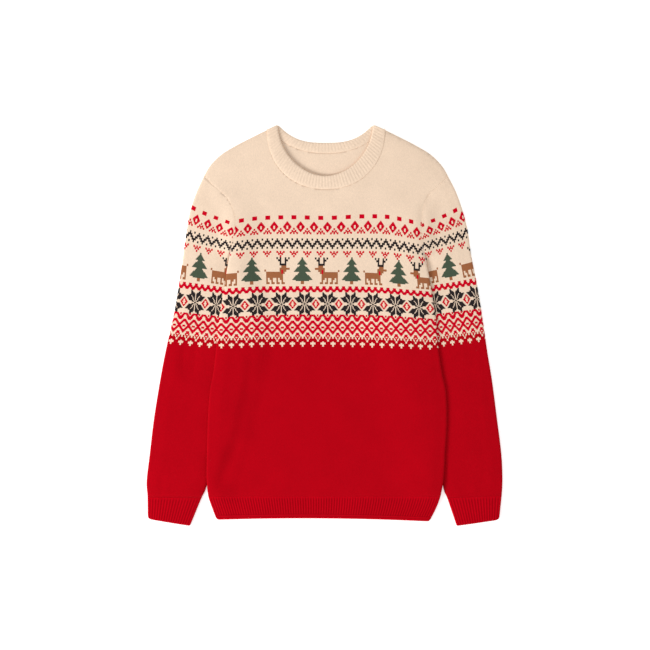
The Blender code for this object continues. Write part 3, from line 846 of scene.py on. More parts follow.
def courses_down(first, last):
    """Courses where a sheet has rows of points: each one in the pattern, fewer outside."""
    top = np.arange(-SHOULDER_STEP, first - SHOULDER_STEP, -SHOULDER_STEP)[::-1]
    pattern = np.arange(0.0, PATTERN_COURSES + 1.0)
    below = np.arange(pattern[-1] + PLAIN_STEP, last + PLAIN_STEP, PLAIN_STEP)
    return np.concatenate([top, pattern, below])


def body_place(stitch, course):
    """Where a stitch of the body lies."""
    curves = {name: curve_from(BODY_BENDS, "stitch", name)(stitch) for name in BODY_BENDS[0]._fields[1:]}
    levels = np.array((SQUARES_COURSE, TREES_COURSE, STARS_COURSE, CROSSES_COURSE, HEM_COURSE))
    moves = []
    for kind in ("drop", "shift"):
        at_levels = [curves[kind + end] for end in ("_squares", "_trees", "_stars", "_crosses")]
        at_levels.append(np.zeros_like(stitch))
        k = np.clip(np.searchsorted(levels, course, side="right") - 1, 0, len(levels) - 2)
        t = np.clip((course - levels[k]) / (levels[k + 1] - levels[k]), 0.0, 1.0)
        at_levels = np.array(at_levels)
        at = np.arange(len(stitch))
        moves.append(between(at_levels[k, at], at_levels[k + 1, at], t))
    drop, shift = moves
    x = MIDDLE_X + STITCH * stitch + shift
    y = PATTERN_TOP_Y - COURSE * course - drop
    return np.stack([x, y], 1)


class SleeveMap:
    """Where a stitch of one sleeve lies: courses start at the outer fold and run inwards."""

    def __init__(self, side_name):
        self.side = SIDES[side_name]
        rows = SLEEVE_COURSES[side_name]
        self.curves = {name: curve_from(rows, "course", name) for name in rows[0]._fields[1:]}
        outer, _ = sleeve_edges(side_name, np.linspace(0.0, CUFF_TOP_ROW, FOLD_POINTS))
        self.fold_y = outer[::-1, 1]
        self.fold_x = outer[::-1, 0]
        self.tip_slope = (outer[1, 0] - outer[0, 0]) / (outer[1, 1] - outer[0, 1])

    def __call__(self, stitch, course):
        at = {name: curve(course) for name, curve in self.curves.items()}
        y = at["fold_y"]
        x = np.interp(y, self.fold_y, self.fold_x) + np.maximum(y - SHOULDER_TIP_Y, 0.0) * self.tip_slope
        walked = (stitch - at["fold_stitch"]) * at["stitch_width"]
        bent = np.clip(walked, 0.0, COURSE_BEND_REACH)
        angle = np.radians(at["tilt"] - 0.5 * at["bend"] * bent)
        return np.stack([x - self.side * walked * np.cos(angle), y - walked * np.sin(angle)], 1)


def knit_sheet(place, outline, stitch_range, course_range):
    """A sheet of knitting with a column of faces for each stitch, cut to its outline."""
    across = np.arange(float(stitch_range[0]), stitch_range[1] + 1.0)
    down = courses_down(*course_range)
    stitches = np.stack([np.tile(across, len(down)), np.repeat(down, len(across))], 1)
    sheet = Sheet(place(stitches[:, 0], stitches[:, 1]), stitches, len(across), len(down))
    sheet.cut_to(outline)
    return sheet


# ---------------- body panels

EDGE_LIP = 0.12           # share of a wall that is left at a folded edge


def thinned(distance, left, width):
    """Share of a thickness: full inside a piece, and down to what is left at a rounded edge."""
    return left + (1.0 - left) * rounded(distance, width)


def lapped(distance):
    return thinned(distance, EDGE_LIP, ROUNDING)


def face_yarn(stitches, faces, colour, plain=False):
    """Colours of faces from the chart, or one colour for a rib."""
    if colour is None:
        return yarn_colours(stitches, faces, plain)
    return np.tile(linear(colour), (len(faces), 1))


def wall_piece(name, sheet, upper, lower, outer_up, boxes, colour=None, relief=None, tone=None):
    """A closed wall between two heights over one sheet; the colour of its outer side can be darkened by
    painted shade.
    """
    cloth = Cloth()
    count = len(sheet.xy)
    cloth.add_points(sheet.xy, upper)
    cloth.add_points(sheet.xy, lower)
    stacked = np.vstack([sheet.xy, sheet.xy])
    both = np.vstack([sheet.stitches, sheet.stitches])
    raised = np.zeros(2 * count) if relief is None else np.concatenate([relief, relief])
    up = sheet.faces
    down = sheet.faces[:, ::-1] + count
    outer, inner = (up, down) if outer_up else (down, up)
    yarn = face_yarn(both, outer, colour)
    if tone is not None:
        yarn = yarn * tone[sheet.faces].mean(1)[:, None]
    plain = face_yarn(both, inner, colour, plain=True)
    cloth.add_faces(outer, both[outer], stacked[outer], boxes[0], yarn, raised[outer])
    cloth.add_faces(inner, both[inner], stacked[inner], boxes[1], plain, inside=1.0)
    rim = sheet.rim()
    walls = np.stack([rim[:, 1], rim[:, 0], rim[:, 0] + count, rim[:, 1] + count], 1)
    cloth.add_rim(walls, boxes[2], face_yarn(both, walls, colour, plain=True))
    return cloth.build(name)


def panel_sheet(neck_seam):
    stitch_range = (-BODY_HALF_STITCHES, BODY_HALF_STITCHES)
    course_range = (BODY_TOP_COURSE, HEM_COURSE + PAST_HEM_SEAM)
    sheet = knit_sheet(body_place, body_outline(neck_seam), stitch_range, course_range)
    sheet.flip()
    return sheet


def front_panel():
    sheet = panel_sheet(FRONT_NECK_SEAM)
    xy = sheet.xy
    distance = closed_edge_distance(xy)
    base = body_lift(xy) + WALL + layer_gap(distance) - crease(xy)
    upper = base + WALL * lapped(distance)
    return wall_piece("front_knit", sheet, upper, base - 0.5 * CLOSED_GAP, True, PANEL_BOXES)


def back_panel():
    sheet = panel_sheet(BACK_NECK_SEAM)
    base = body_lift(sheet.xy)
    distance = closed_edge_distance(sheet.xy)
    lower = base + WALL * (1.0 - lapped(distance))
    return wall_piece("back_knit", sheet, base + WALL, lower, False, PANEL_BOXES)


# ---------------- sleeves

def fold_frame(xy, outer, inner, side):
    """Distance of each point from the nearer fold of a sleeve, and the way in from it."""
    to_outer, _, left_outer = nearest_on(outer, xy)
    to_inner, _, left_inner = nearest_on(inner, xy)
    nearer = (to_outer < to_inner)[:, None]
    inwards = np.where(nearer, -side * left_outer, side * left_inner)
    return np.minimum(to_outer, to_inner), inwards


ON_FOLD = 0.05            # a point this near to a fold lies on it


def flat_tube(name, sheet, distance, inwards, base, boxes, colour=None, relief=None, worn=0.0):
    """A closed wall all round a flattened tube, open at the ends that are not folds.

    worn is how far each wall thins, as towards the free edge of a cuff.
    """
    gap = layer_gap(distance)
    pressed = np.minimum(crease(sheet.xy), gap - CLOSED_GAP)
    middle = base + WALL + 0.5 * CLOSED_GAP
    top = middle + (base + 2.0 * WALL + gap - pressed - worn - middle) * rounded(distance)
    bottom = middle - (middle - base - worn) * rounded(distance)
    inset = (WALL + CLOSED_GAP) * (1.0 - distance / (2.0 * LAID_GAP_REACH)).clip(0.0)
    inner_xy = sheet.xy + inwards * inset[:, None]
    inner_top = base + WALL + gap - pressed
    fold = distance < ON_FOLD
    inner_top[fold] = middle[fold]

    count = len(sheet.xy)
    index = np.arange(count)
    under = np.where(fold, index, count + np.cumsum(~fold) - 1)
    total = count + int((~fold).sum())
    cloth = Cloth()
    cloth.add_points(sheet.xy, top)
    cloth.add_points(sheet.xy[~fold], bottom[~fold])
    cloth.add_points(inner_xy, inner_top)
    cloth.add_points(inner_xy[~fold], (base + WALL)[~fold])
    faces = sheet.faces
    stitches = sheet.stitches
    yarn = face_yarn(stitches, faces, colour)
    plain = face_yarn(stitches, faces, colour, plain=True)
    relief = np.zeros(count) if relief is None else relief
    flat = np.zeros(count)
    layers = (
        (faces, index, yarn, relief, 0.0),
        (faces[:, ::-1], under, yarn, -relief, 0.0),
        (faces[:, ::-1], total + index, plain, flat, 1.0),
        (faces, total + under, plain, flat, 1.0),
    )
    for (own, places, colours, raised, inside), box in zip(layers, boxes):
        cloth.add_faces(places[own], stitches[own], sheet.xy[own], box, colours, raised[own], inside)
    rim = sheet.rim()
    rim = rim[~(fold[rim[:, 0]] & fold[rim[:, 1]])]
    a = rim[:, 0]
    b = rim[:, 1]
    walls = np.vstack([
        np.stack([b, a, total + a, total + b], 1),
        np.stack([under[a], under[b], total + under[b], total + under[a]], 1),
    ])
    first = np.concatenate([a, a])
    rim_yarn = face_yarn(stitches, first[:, None].repeat(4, 1), colour, plain=True)
    cloth.add_rim(walls, boxes[4], rim_yarn)
    return cloth.build(name)


def sleeve(side_name):
    plan = SleevePlan(side_name)
    place = SleeveMap(side_name)
    sheet = knit_sheet(place, plan.outline, SLEEVE_STITCHES, SLEEVE_COURSE_RANGE)
    if plan.side < 0:
        sheet.flip()
    distance, inwards = fold_frame(sheet.xy, plan.outer, plan.inner, plan.side)
    from_seam, seam_point, _ = nearest_on(plan.armhole, sheet.xy)
    base = armhole_lift(seam_point[:, 1]) * (1.0 - eased(from_seam / SLEEVE_DROP))
    return flat_tube(side_name + "_sleeve_knit", sheet, distance, inwards, base, TUBE_BOXES)


# ---------------- ribs

RIB_STEPS = 6             # columns of points a rib
RIB_COURSE = 3.1          # height of a course of a rib
RIB_SCALLOP = 0.04        # how far a rib stands out past the groove at a free edge
RIB_START = 6.0           # the ribs rise over this length from a seam
FREE_EDGE = 2.6           # width of the rounding of a free edge
FRONT_HEM_LEFT = 0.4      # share of the wall that is left at the edge of the hem
BACK_HEM_LEFT = 0.6
RIB_LEFT = 0.5            # share of a rib's height that is left at a free edge
HEM_LINES = (4.0, 7.8)    # two grooves along the hem, by their height above its edge
HEM_LINE_DEPTH = 0.35
HEM_LINE_WIDTH = 0.7
HEM_LINE_PAINTED_SHADE = 0.42      # and how much darker their colour is made, as painted shade in these grooves
CAST_OFF = 7.0            # the ribs end this far above the edge of the hem
CAST_OFF_SLOPE = 2.0      # and fade out over this length
HEM_ROWS = 48             # rows of points from the seam to the free edge
BAND_ROWS = 16
CUFF_ROWS = 26
BAND_CROWN = 0.5          # how much the middle of the neckband's width is raised
BAND_LAP = 0.9            # the neckband is linked on over the edge of the panel
BAND_SCALLOP = 0.15       # its own scallop, and the length over which its ribs rise
BAND_RIB_START = 4.0
BAND_CORNER = 3.5         # rounding of the neckband where it folds at a shoulder
RIBS_TO_WIDTH = 5.0       # there, this many ribs are reckoned as the band's width
CORNER = 5.0              # radius of the worn corners of the hem
CUFF_CORNER = 6.5         # and of a cuff, at its outer and at its inner fold
CUFF_INNER_CORNER = 2.0
CUFF_LONGER = 1.7         # the worn edge of a cuff reaches this far past its row
CUFF_WEAR = 0.5           # and each of its walls is this much thinner there


def ridge(phase):
    """1 on a rib and 0 in the groove between two."""
    return 0.5 - 0.5 * np.cos(2.0 * math.pi * phase)


def rib_sheet(xy, phase, run):
    """A sheet of 1x1 rib from rows of points; a rib is two stitches wide."""
    rows, columns = xy.shape[:2]
    stitches = np.stack([np.broadcast_to(2.0 * phase, run.shape), run / RIB_COURSE], 2)
    return Sheet(xy.reshape(-1, 2).copy(), stitches.reshape(-1, 2), columns, rows)


def hem_sheet():
    phase = np.linspace(0.0, HEM_RIBS, HEM_RIBS * RIB_STEPS + 1)
    share = phase / HEM_RIBS
    drop = np.linspace(1.0, 0.0, HEM_ROWS)[:, None]
    middle_x = between(side_x(-1, HEM_TOP_Y), side_x(1, HEM_TOP_Y), share)
    from_corner = share * (1.0 - share) * (middle_x[-1] - middle_x[0])
    corner = CORNER * (1.0 - rounded(from_corner, CORNER))
    low = hem_edge_y(middle_x) - RIB_SCALLOP * ridge(phase) + corner
    y = between(HEM_TOP_Y, low, drop)
    x = between(side_x(-1, y), side_x(1, y), share)
    sheet = rib_sheet(np.stack([x, y], 2), phase, HEM_TOP_Y - y)
    aside = np.minimum(x - side_x(-1, y), side_x(1, y) - x).ravel()
    return sheet, aside, (y - low).ravel()


def hem_rib_share(sheet, above_edge):
    """How far the ribs have risen: they fade in below the seam and end at the cast-off edge."""
    return eased((HEM_TOP_Y - sheet.xy[:, 1]) / RIB_START) * eased((above_edge - CAST_OFF) / CAST_OFF_SLOPE)


def front_hem():
    sheet, aside, above_edge = hem_sheet()
    base = body_lift(sheet.xy) + WALL + layer_gap(aside)
    lines = sum(np.exp(-((above_edge - line) / HEM_LINE_WIDTH) ** 2) for line in HEM_LINES)
    upper = base + WALL * lapped(aside) * thinned(above_edge, FRONT_HEM_LEFT, FREE_EDGE)
    upper = upper - HEM_LINE_DEPTH * lines
    relief = lapped(aside) * hem_rib_share(sheet, above_edge)
    base = base - 0.5 * CLOSED_GAP
    # painted shade: the colour of the hem's two grooves is darkened
    tone = 1.0 - HEM_LINE_PAINTED_SHADE * lines
    return wall_piece("front_hem", sheet, upper, base, True, RIB_BOXES, RIB_RED, relief, tone)


def back_hem():
    sheet, aside, above_edge = hem_sheet()
    base = body_lift(sheet.xy)
    lower = base + WALL * (1.0 - lapped(aside) * thinned(above_edge, BACK_HEM_LEFT, FREE_EDGE))
    relief = -lapped(aside) * hem_rib_share(sheet, above_edge)
    return wall_piece("back_hem", sheet, base + WALL, lower, False, RIB_BOXES, RIB_RED, relief)


def neckband(name, neck_seam, neck_edge, ribs, base_at):
    """One half of the neckband, from the neck seam to its free edge."""
    phase = np.linspace(0.0, ribs, ribs * RIB_STEPS + 1)
    seam = neck_curve(neck_seam, len(phase))
    free = neck_curve(neck_edge, len(phase))
    run = free - seam
    width = np.linalg.norm(run, axis=1)
    along = np.linspace(0.0, 1.0, BAND_ROWS)[:, None]
    from_corner = phase * (ribs - phase) / ribs * width.mean() / RIBS_TO_WIDTH
    pulled_in = BAND_CORNER * (1.0 - rounded(from_corner, BAND_CORNER))
    reach = along * (width + BAND_LAP + BAND_SCALLOP * ridge(phase) - pulled_in) - BAND_LAP
    xy = seam + (run / width[:, None]) * reach[..., None]
    sheet = rib_sheet(xy, phase, reach)
    base = np.broadcast_to(base_at(seam), reach.shape).ravel()
    to_free = ((1.0 - along) * width).ravel()
    middle = base + 0.5 * BAND_WALL
    half = 0.5 * BAND_WALL * rounded(to_free, FREE_EDGE)
    crown = BAND_CROWN * np.broadcast_to(np.sin(math.pi * along), reach.shape).ravel()
    relief = eased(reach.ravel() / BAND_RIB_START) * thinned(to_free, RIB_LEFT, FREE_EDGE)
    return wall_piece(name, sheet, middle + half + crown, middle - half, True, RIB_BOXES, CREAM, relief)


def front_band_base(seam):
    return np.maximum(WALL + layer_gap(closed_edge_distance(seam)), FRONT_BAND_LOWEST)


def back_band_base(seam):
    return np.zeros(len(seam))


def drawn_on(line):
    """A line of points with one more step at its end."""
    return np.vstack([line, 2.0 * line[-1:] - line[-2:-1]])


def cuff(side_name):
    side = SIDES[side_name]
    phase = np.linspace(0.0, CUFF_RIBS, CUFF_RIBS * RIB_STEPS + 1)
    share = (phase / CUFF_RIBS)[:, None]
    outer, inner = sleeve_edges(side_name, np.array((float(CUFF_TOP_ROW), float(CUFF_END_ROW))))
    start = between(outer[0], inner[0], share)
    end = between(outer[1], inner[1], share)
    length = np.linalg.norm(end - start, axis=1)
    from_outer = share[:, 0] * np.linalg.norm(end[-1] - end[0])
    corner = CUFF_CORNER * (1.0 - rounded(from_outer, CUFF_CORNER))
    corner += CUFF_INNER_CORNER * (1.0 - rounded(from_outer[::-1], CUFF_INNER_CORNER))
    scallop = 1.0 + (CUFF_LONGER + RIB_SCALLOP * ridge(phase) - corner) / length
    along = np.linspace(0.0, 1.0, CUFF_ROWS)[:, None]
    xy = start + (end - start) * (along * scallop)[..., None]
    sheet = rib_sheet(xy, phase, along * length)
    if side < 0:
        sheet.flip()
    distance, inwards = fold_frame(sheet.xy, drawn_on(xy[:, 0]), drawn_on(xy[:, -1]), side)
    from_end = ((1.0 - along) * length).ravel()
    from_start = (along * length).ravel()
    worn = CUFF_WEAR * (1.0 - rounded(from_end, FREE_EDGE))
    relief = rounded(distance) * eased(from_start / RIB_START) * thinned(from_end, RIB_LEFT, FREE_EDGE)
    base = np.zeros(len(sheet.xy))
    name = side_name + "_cuff"
    return flat_tube(name, sheet, distance, inwards, base, TUBE_BOXES, RIB_RED, relief, worn)


# ---------------- building node trees

class Value:
    """What a socket of a node tree gives. What is reckoned with it becomes Math nodes."""

    def __init__(self, tree, socket):
        self.tree = tree
        self.socket = socket

    def then(self, operation, *others):
        """The result of a Math node that takes this value first."""
        return maths(self.tree, operation, self, *others)

    def __add__(self, other):
        return self.then("ADD", other)

    def __sub__(self, other):
        return self.then("SUBTRACT", other)

    def __rsub__(self, other):
        return maths(self.tree, "SUBTRACT", other, self)

    def __mul__(self, other):
        return self.then("MULTIPLY", other)

    def __abs__(self):
        return self.then("ABSOLUTE")


def feed(made, inputs):
    """Give each input of a node its number or colour, or link it to a value of the tree."""
    for key, given in dict(inputs).items():
        if isinstance(given, Value):
            given.tree.links.new(given.socket, made.inputs[key])
        else:
            made.inputs[key].default_value = given


def node(tree, kind, inputs=(), **settings):
    """A node with its settings and its inputs."""
    made = tree.nodes.new(kind)
    for name, setting in settings.items():
        setattr(made, name, setting)
    feed(made, inputs)
    return made


def result(tree, kind, inputs=(), output=0, **settings):
    """What a new node gives."""
    return Value(tree, node(tree, kind, inputs, **settings).outputs[output])


def maths(tree, operation, *values):
    return result(tree, "ShaderNodeMath", enumerate(values), operation=operation)


def new_tree(name, kind, inputs, outputs):
    """A node group with named sockets: the tree, what its inputs give and its output node.

    An input is described by its first number, or by its type where it has none, and an
    output by its type.
    """
    tree = bpy.data.node_groups.new(name, kind)
    for in_out, sockets in (("INPUT", inputs), ("OUTPUT", outputs)):
        for label, first in sockets.items():
            socket_type = "Float" if isinstance(first, float) else first
            socket = tree.interface.new_socket(
                name=label, in_out=in_out, socket_type="NodeSocket" + socket_type
            )
            if isinstance(first, float):
                socket.default_value = first
    found = tree.nodes.new("NodeGroupInput").outputs
    given = {label: Value(tree, found[label]) for label in inputs}
    return tree, given, tree.nodes.new("NodeGroupOutput")


def rib_knit_tree():
    """Raises the ribs of a band along its normals, with the bumps of their stitches.

    On the side that the sweater lies on, where relief is below zero, the grooves are
    sunk instead and the ribs stay flat.
    """
    inputs = {
        "Geometry": "Geometry",
        "Rib Height": 0.0008,
        "Stitch Share": 0.3,
        "Material": "Material",
    }
    outputs = {"Geometry": "Geometry"}
    tree, given, out = new_tree("rib knit", "GeometryNodeTree", inputs, outputs)
    relief, wale, course = (
        result(tree, "GeometryNodeInputNamedAttribute", {"Name": name}, data_type="FLOAT")
        for name in ("relief", "wale", "course")
    )
    wave = (wale * math.pi).then("COSINE") * relief.then("SIGN")
    rise = wave.then("MULTIPLY_ADD", -0.5, 0.5)
    bump = abs((course * math.pi).then("SINE"))
    hollow = (1.0 - bump) * given["Stitch Share"]
    height = rise * (1.0 - hollow) * relief * given["Rib Height"]
    normal = result(tree, "GeometryNodeInputNormal")
    offset = result(tree, "ShaderNodeVectorMath", {0: normal, "Scale": height}, operation="SCALE")
    moved = result(tree, "GeometryNodeSetPosition", {"Geometry": given["Geometry"], "Offset": offset})
    whole = result(tree, "GeometryNodeRealizeInstances", {"Geometry": moved})
    finish = {"Geometry": whole, "Material": given["Material"]}
    feed(out, {0: result(tree, "GeometryNodeSetMaterial", finish)})
    return tree


LEG_TURN = math.radians(24.0)
LEG_LENGTH = 0.62         # half the length of a leg, as a share of its stitch


def linking_tree():
    """A row of linking stitches along a line, each of two legs that meet like a V."""
    inputs = {
        "Geometry": "Geometry",
        "Stitch Length": 0.0029,
        "Leg Radius": 0.00036,
        "Leg Spread": 0.0003,
        "Material": "Material",
    }
    outputs = {"Geometry": "Geometry"}
    tree, given, out = new_tree("linking stitches", "GeometryNodeTree", inputs, outputs)
    length = given["Stitch Length"]
    radius = given["Leg Radius"]
    ball = result(tree, "GeometryNodeMeshUVSphere", {"Segments": 8, "Rings": 6, "Radius": 1.0})
    legs = node(tree, "GeometryNodeJoinGeometry")
    for side in (1.0, -1.0):
        size = result(tree, "ShaderNodeCombineXYZ", {"X": length * LEG_LENGTH, "Y": radius, "Z": radius})
        place = result(tree, "ShaderNodeCombineXYZ", {"X": 0.0, "Y": given["Leg Spread"] * side, "Z": 0.0})
        turn = (0.0, 0.0, side * LEG_TURN)
        leg = {"Geometry": ball, "Scale": size, "Translation": place, "Rotation": turn}
        feed(legs, {0: result(tree, "GeometryNodeTransform", leg)})
    line = result(tree, "GeometryNodeMeshToCurve", {"Mesh": given["Geometry"]})
    spaced = result(tree, "GeometryNodeResampleCurve", {"Curve": line, "Length": length}, mode="LENGTH")
    tangent = {"Vector": result(tree, "GeometryNodeInputTangent")}
    facing = result(tree, "FunctionNodeAlignRotationToVector", tangent, axis="X", pivot_axis="Z")
    copies = {"Points": spaced, "Instance": Value(tree, legs.outputs[0]), "Rotation": facing}
    placed = result(tree, "GeometryNodeInstanceOnPoints", copies)
    whole = result(tree, "GeometryNodeRealizeInstances", {"Geometry": placed})
    smooth = result(tree, "GeometryNodeSetShadeSmooth", {0: whole})
    finish = {"Geometry": smooth, "Material": given["Material"]}
    feed(out, {0: result(tree, "GeometryNodeSetMaterial", finish)})
    return tree


def worked(piece, tree, **sizes):
    """Run a Geometry Nodes tree on a piece and keep its result as a plain mesh."""
    modifier = piece.modifiers.new(tree.name, "NODES")
    modifier.node_group = tree
    sockets = {item.name: item.identifier for item in tree.interface.items_tree if item.in_out == "INPUT"}
    for name, value in sizes.items():
        modifier[sockets[name.replace("_", " ")]] = value
    evaluated = piece.evaluated_get(bpy.context.evaluated_depsgraph_get())
    made = bpy.data.meshes.new_from_object(evaluated)
    piece.modifiers.remove(modifier)
    old = piece.data
    piece.data = made
    bpy.data.meshes.remove(old)
    made.name = piece.name
    return piece


# ---------------- finishes

KNIT_MASKS = ("Height", "Groove", "Leg", "Rib Groove")  # what the stitches tell the yarn
STITCH_MIDDLE = 0.5       # across a stitch, where its two legs meet
LEG_ROUNDNESS = 0.6
LEG_RISE = (0.35, 0.65)   # share of a leg's height that swells along it, and its least height
PURL_ROUNDNESS = 0.7
PURL_RISE = (0.2, 0.8)
FIBRE_SCALE = 1300.0      # sizes of the patterns in the yarn, as turns to the metre
CLUMP_SCALE = 420.0
CLOUD_SCALE = 24.0
FLECK_RANGE = (0.52, 0.72)
CLOUD_SHADE = (0.12, -0.06)
LEG_VARIATION = 0.10
WOOL_ROUGHNESS = 0.88
WOOL_SPECULAR = 0.02
SHEEN_ROUGHNESS = 0.45
CREAM_SHEEN = (1.0, 0.92, 0.84)
RED_SHEEN = (0.9, 0.05, 0.08)
THREAD_SHEEN = 0.08
STITCH_RELIEF = 0.00016   # height of the stitches of the cloth, in metres


def knit_stitch_group():
    """Heights of knitted stitches: two slanting legs on the right side, bumps on the wrong."""
    inputs = {
        "Stitches": "Vector",
        "Slant": 0.5,
        "Wrong Side": 0.0,
        "Rib Relief": 0.0,
    }
    outputs = {name: "Float" for name in KNIT_MASKS}
    tree, given, out = new_tree("knit stitch", "ShaderNodeTree", inputs, outputs)
    split = node(tree, "ShaderNodeSeparateXYZ", {0: given["Stitches"]})
    u, v = (Value(tree, split.outputs[axis]) for axis in (0, 1))
    in_stitch = abs(u.then("FRACT") - STITCH_MIDDLE)
    v = v - in_stitch * 2.0 * given["Slant"]
    half = u * 2.0
    across = (half.then("FRACT") * math.pi).then("SINE")
    along = (v.then("FRACT") * math.pi).then("SINE")
    leg = across.then("POWER", LEG_ROUNDNESS) * along.then("MULTIPLY_ADD", *LEG_RISE)
    wave = (u * (2.0 * math.pi)).then("COSINE")
    purl = along.then("POWER", PURL_ROUNDNESS) * wave.then("MULTIPLY_ADD", *PURL_RISE)
    mixed = {"Factor": given["Wrong Side"], "A": leg, "B": purl}
    height = result(tree, "ShaderNodeMix", mixed, data_type="FLOAT")
    cell = result(tree, "ShaderNodeCombineXYZ", {0: half.then("FLOOR"), 1: v.then("FLOOR")})
    rib_groove = (u * math.pi).then("COSINE").then("MULTIPLY_ADD", 0.5, 0.5)
    feed(out, {
        "Height": height,
        "Groove": 1.0 - height,
        "Leg": result(tree, "ShaderNodeTexWhiteNoise", {"Vector": cell}, "Value", noise_dimensions="2D"),
        "Rib Groove": rib_groove * abs(given["Rib Relief"]),
    })
    return tree


def wool_group():
    """The look of the yarn itself: flecks and fibres, with painted shade that darkens the grooves between
    stitches and between ribs.
    """
    inputs = {
        "Place": "Vector",
        "Yarn": "Color",
        "Height": 0.0,
        "Groove": 0.0,
        "Leg": 0.5,
        "Fleck": 0.3,
        "Groove Shade": 0.3,
        "Rib Groove": 0.0,
        "Rib Shade": 0.0,
        "Fibre Height": 0.3,
    }
    outputs = {"Color": "Color", "Height": "Float"}
    tree, given, out = new_tree("wool yarn", "ShaderNodeTree", inputs, outputs)
    fibres, clumps, cloudy = (
        result(tree, "ShaderNodeTexNoise", {"Vector": given["Place"], "Scale": scale, "Detail": detail})
        for scale, detail in ((FIBRE_SCALE, 2.0), (CLUMP_SCALE, 2.0), (CLOUD_SCALE, 1.0))
    )
    flecks = {"Value": clumps, "From Min": FLECK_RANGE[0], "From Max": FLECK_RANGE[1]}
    light = given["Leg"].then("MULTIPLY_ADD", LEG_VARIATION, 1.0 - 0.5 * LEG_VARIATION)
    light = light + cloudy.then("MULTIPLY_ADD", *CLOUD_SHADE)
    light = light + result(tree, "ShaderNodeMapRange", flecks) * given["Fleck"]
    # painted shade: the colour is darkened in the grooves between the legs of stitches and between ribs
    light = light * (1.0 - given["Groove"] * given["Groove Shade"])
    light = light * (1.0 - given["Rib Groove"] * given["Rib Shade"])
    shaded = {0: given["Yarn"], "Scale": light}
    feed(out, {
        "Color": result(tree, "ShaderNodeVectorMath", shaded, operation="SCALE"),
        "Height": fibres.then("MULTIPLY_ADD", given["Fibre Height"], given["Height"]),
    })
    return tree


def wool_material(name, sheen, sheen_tint):
    """A material with the plain look of wool, its tree and its wool yarn group."""
    material = bpy.data.materials.new(name)
    material.use_nodes = True
    tree = material.node_tree
    place = result(tree, "ShaderNodeTexCoord", output="Object")
    wool = node(tree, "ShaderNodeGroup", node_tree=bpy.data.node_groups["wool yarn"])
    feed(wool, {"Place": place})
    height = Value(tree, wool.outputs["Height"])
    bump = result(tree, "ShaderNodeBump", {"Strength": 1.0, "Distance": STITCH_RELIEF, "Height": height})
    feed(tree.nodes["Principled BSDF"], {
        "Base Color": Value(tree, wool.outputs["Color"]),
        "Roughness": WOOL_ROUGHNESS,
        "Specular IOR Level": WOOL_SPECULAR,
        "Normal": bump,
        "Sheen Weight": sheen,
        "Sheen Roughness": SHEEN_ROUGHNESS,
        "Sheen Tint": (*sheen_tint, 1.0),
    })
    return material, tree, wool


def knitted(name, fleck, groove_shade, rib_shade, sheen, sheen_tint):
    """Knitted cloth in the colours of its chart."""
    material, tree, wool = wool_material(name, sheen, sheen_tint)
    knit = node(tree, "ShaderNodeGroup", node_tree=bpy.data.node_groups["knit stitch"])
    feed(knit, {
        "Stitches": result(tree, "ShaderNodeUVMap", uv_map="stitches"),
        "Wrong Side": result(tree, "ShaderNodeAttribute", output="Fac", attribute_name="wrong_side"),
        "Rib Relief": result(tree, "ShaderNodeAttribute", output="Fac", attribute_name="relief"),
    })
    feed(wool, {label: Value(tree, knit.outputs[label]) for label in KNIT_MASKS})
    feed(wool, {
        "Yarn": result(tree, "ShaderNodeAttribute", output="Color", attribute_name="yarn"),
        "Fleck": fleck,
        "Groove Shade": groove_shade,
        "Rib Shade": rib_shade,
    })
    return material


def thread(name, colour):
    """A plain yarn of one colour."""
    material, _, wool = wool_material(name, THREAD_SHEEN, CREAM_SHEEN)
    feed(wool, {"Yarn": (*linear(colour), 1.0)})
    return material


def dress(piece, material, slot, *nodes):
    """Give a finished piece its material, hang it on the root and hide the CAD nodes it stands for; slot is
    not used.
    """
    if not piece.data.materials:
        piece.data.materials.append(material)
    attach(piece, "root")
    if nodes:
        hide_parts(*nodes)


# ---------------- linking stitches

LINKING_SUNK = 0.2        # how deep the middle of a linking stitch lies in the cloth
LINKING_POINTS = 400      # points of its line at the neck
LINKING_ENDS = (2.0, 1.0)  # the armhole's stitches stop this far from underarm and shoulder


def line_piece(name, points):
    """A line of points as a mesh, for a row of stitches."""
    mesh = bpy.data.meshes.new(name)
    mesh.from_pydata((points * MM).tolist(), [(k, k + 1) for k in range(len(points) - 1)], [])
    return in_scene(name, mesh)


def neck_linking_line(neck_seam, base_at):
    seam = neck_curve(neck_seam, LINKING_POINTS)
    return np.column_stack([seam, base_at(seam) + BAND_WALL - LINKING_SUNK])


def armhole_linking_line(side):
    line = side_line(side, UNDERARM_Y + LINKING_ENDS[0], SHOULDER_TIP_Y - LINKING_ENDS[1])
    height = body_lift(line) + 2.0 * WALL + layer_gap(closed_edge_distance(line)) - crease(line)
    return np.column_stack([line, height - LINKING_SUNK])


# ---------------- floor, light and camera

KEY_FROM = (-3.5, -1.5, 2.25)
KEY_SIZE = 1.7
KEY_POWER = 148.0
WORLD_LIGHT = 0.735
WHITE = (1.0, 1.0, 1.0, 1.0)
FLOOR_HALF = 4.0
FLOOR_Z = -0.0004         # the floor lies just below the cloth, in metres
FLOOR_COLOUR = (0.9, 0.9, 0.9, 1.0)
FLOOR_ROUGHNESS = 0.9
FLOOR_GLOW = 0.42
CAMERA_OVER = (0.00079, -0.00044)
CAMERA_HEIGHT = 2.692
CAMERA_LENS = 85.0
CAMERA_SENSOR = 36.0


def floor():
    ends = ((-1, -1), (1, -1), (1, 1), (-1, 1))
    mesh = bpy.data.meshes.new("floor")
    mesh.from_pydata([(x * FLOOR_HALF, y * FLOOR_HALF, FLOOR_Z) for x, y in ends], [], [(0, 1, 2, 3)])
    material = bpy.data.materials.new("pale floor")
    material.use_nodes = True
    feed(material.node_tree.nodes["Principled BSDF"], {
        "Base Color": FLOOR_COLOUR,
        "Roughness": FLOOR_ROUGHNESS,
        "Specular IOR Level": 0.0,
        "Emission Color": WHITE,
        "Emission Strength": FLOOR_GLOW,
    })
    mesh.materials.append(material)
    in_scene("floor", mesh)


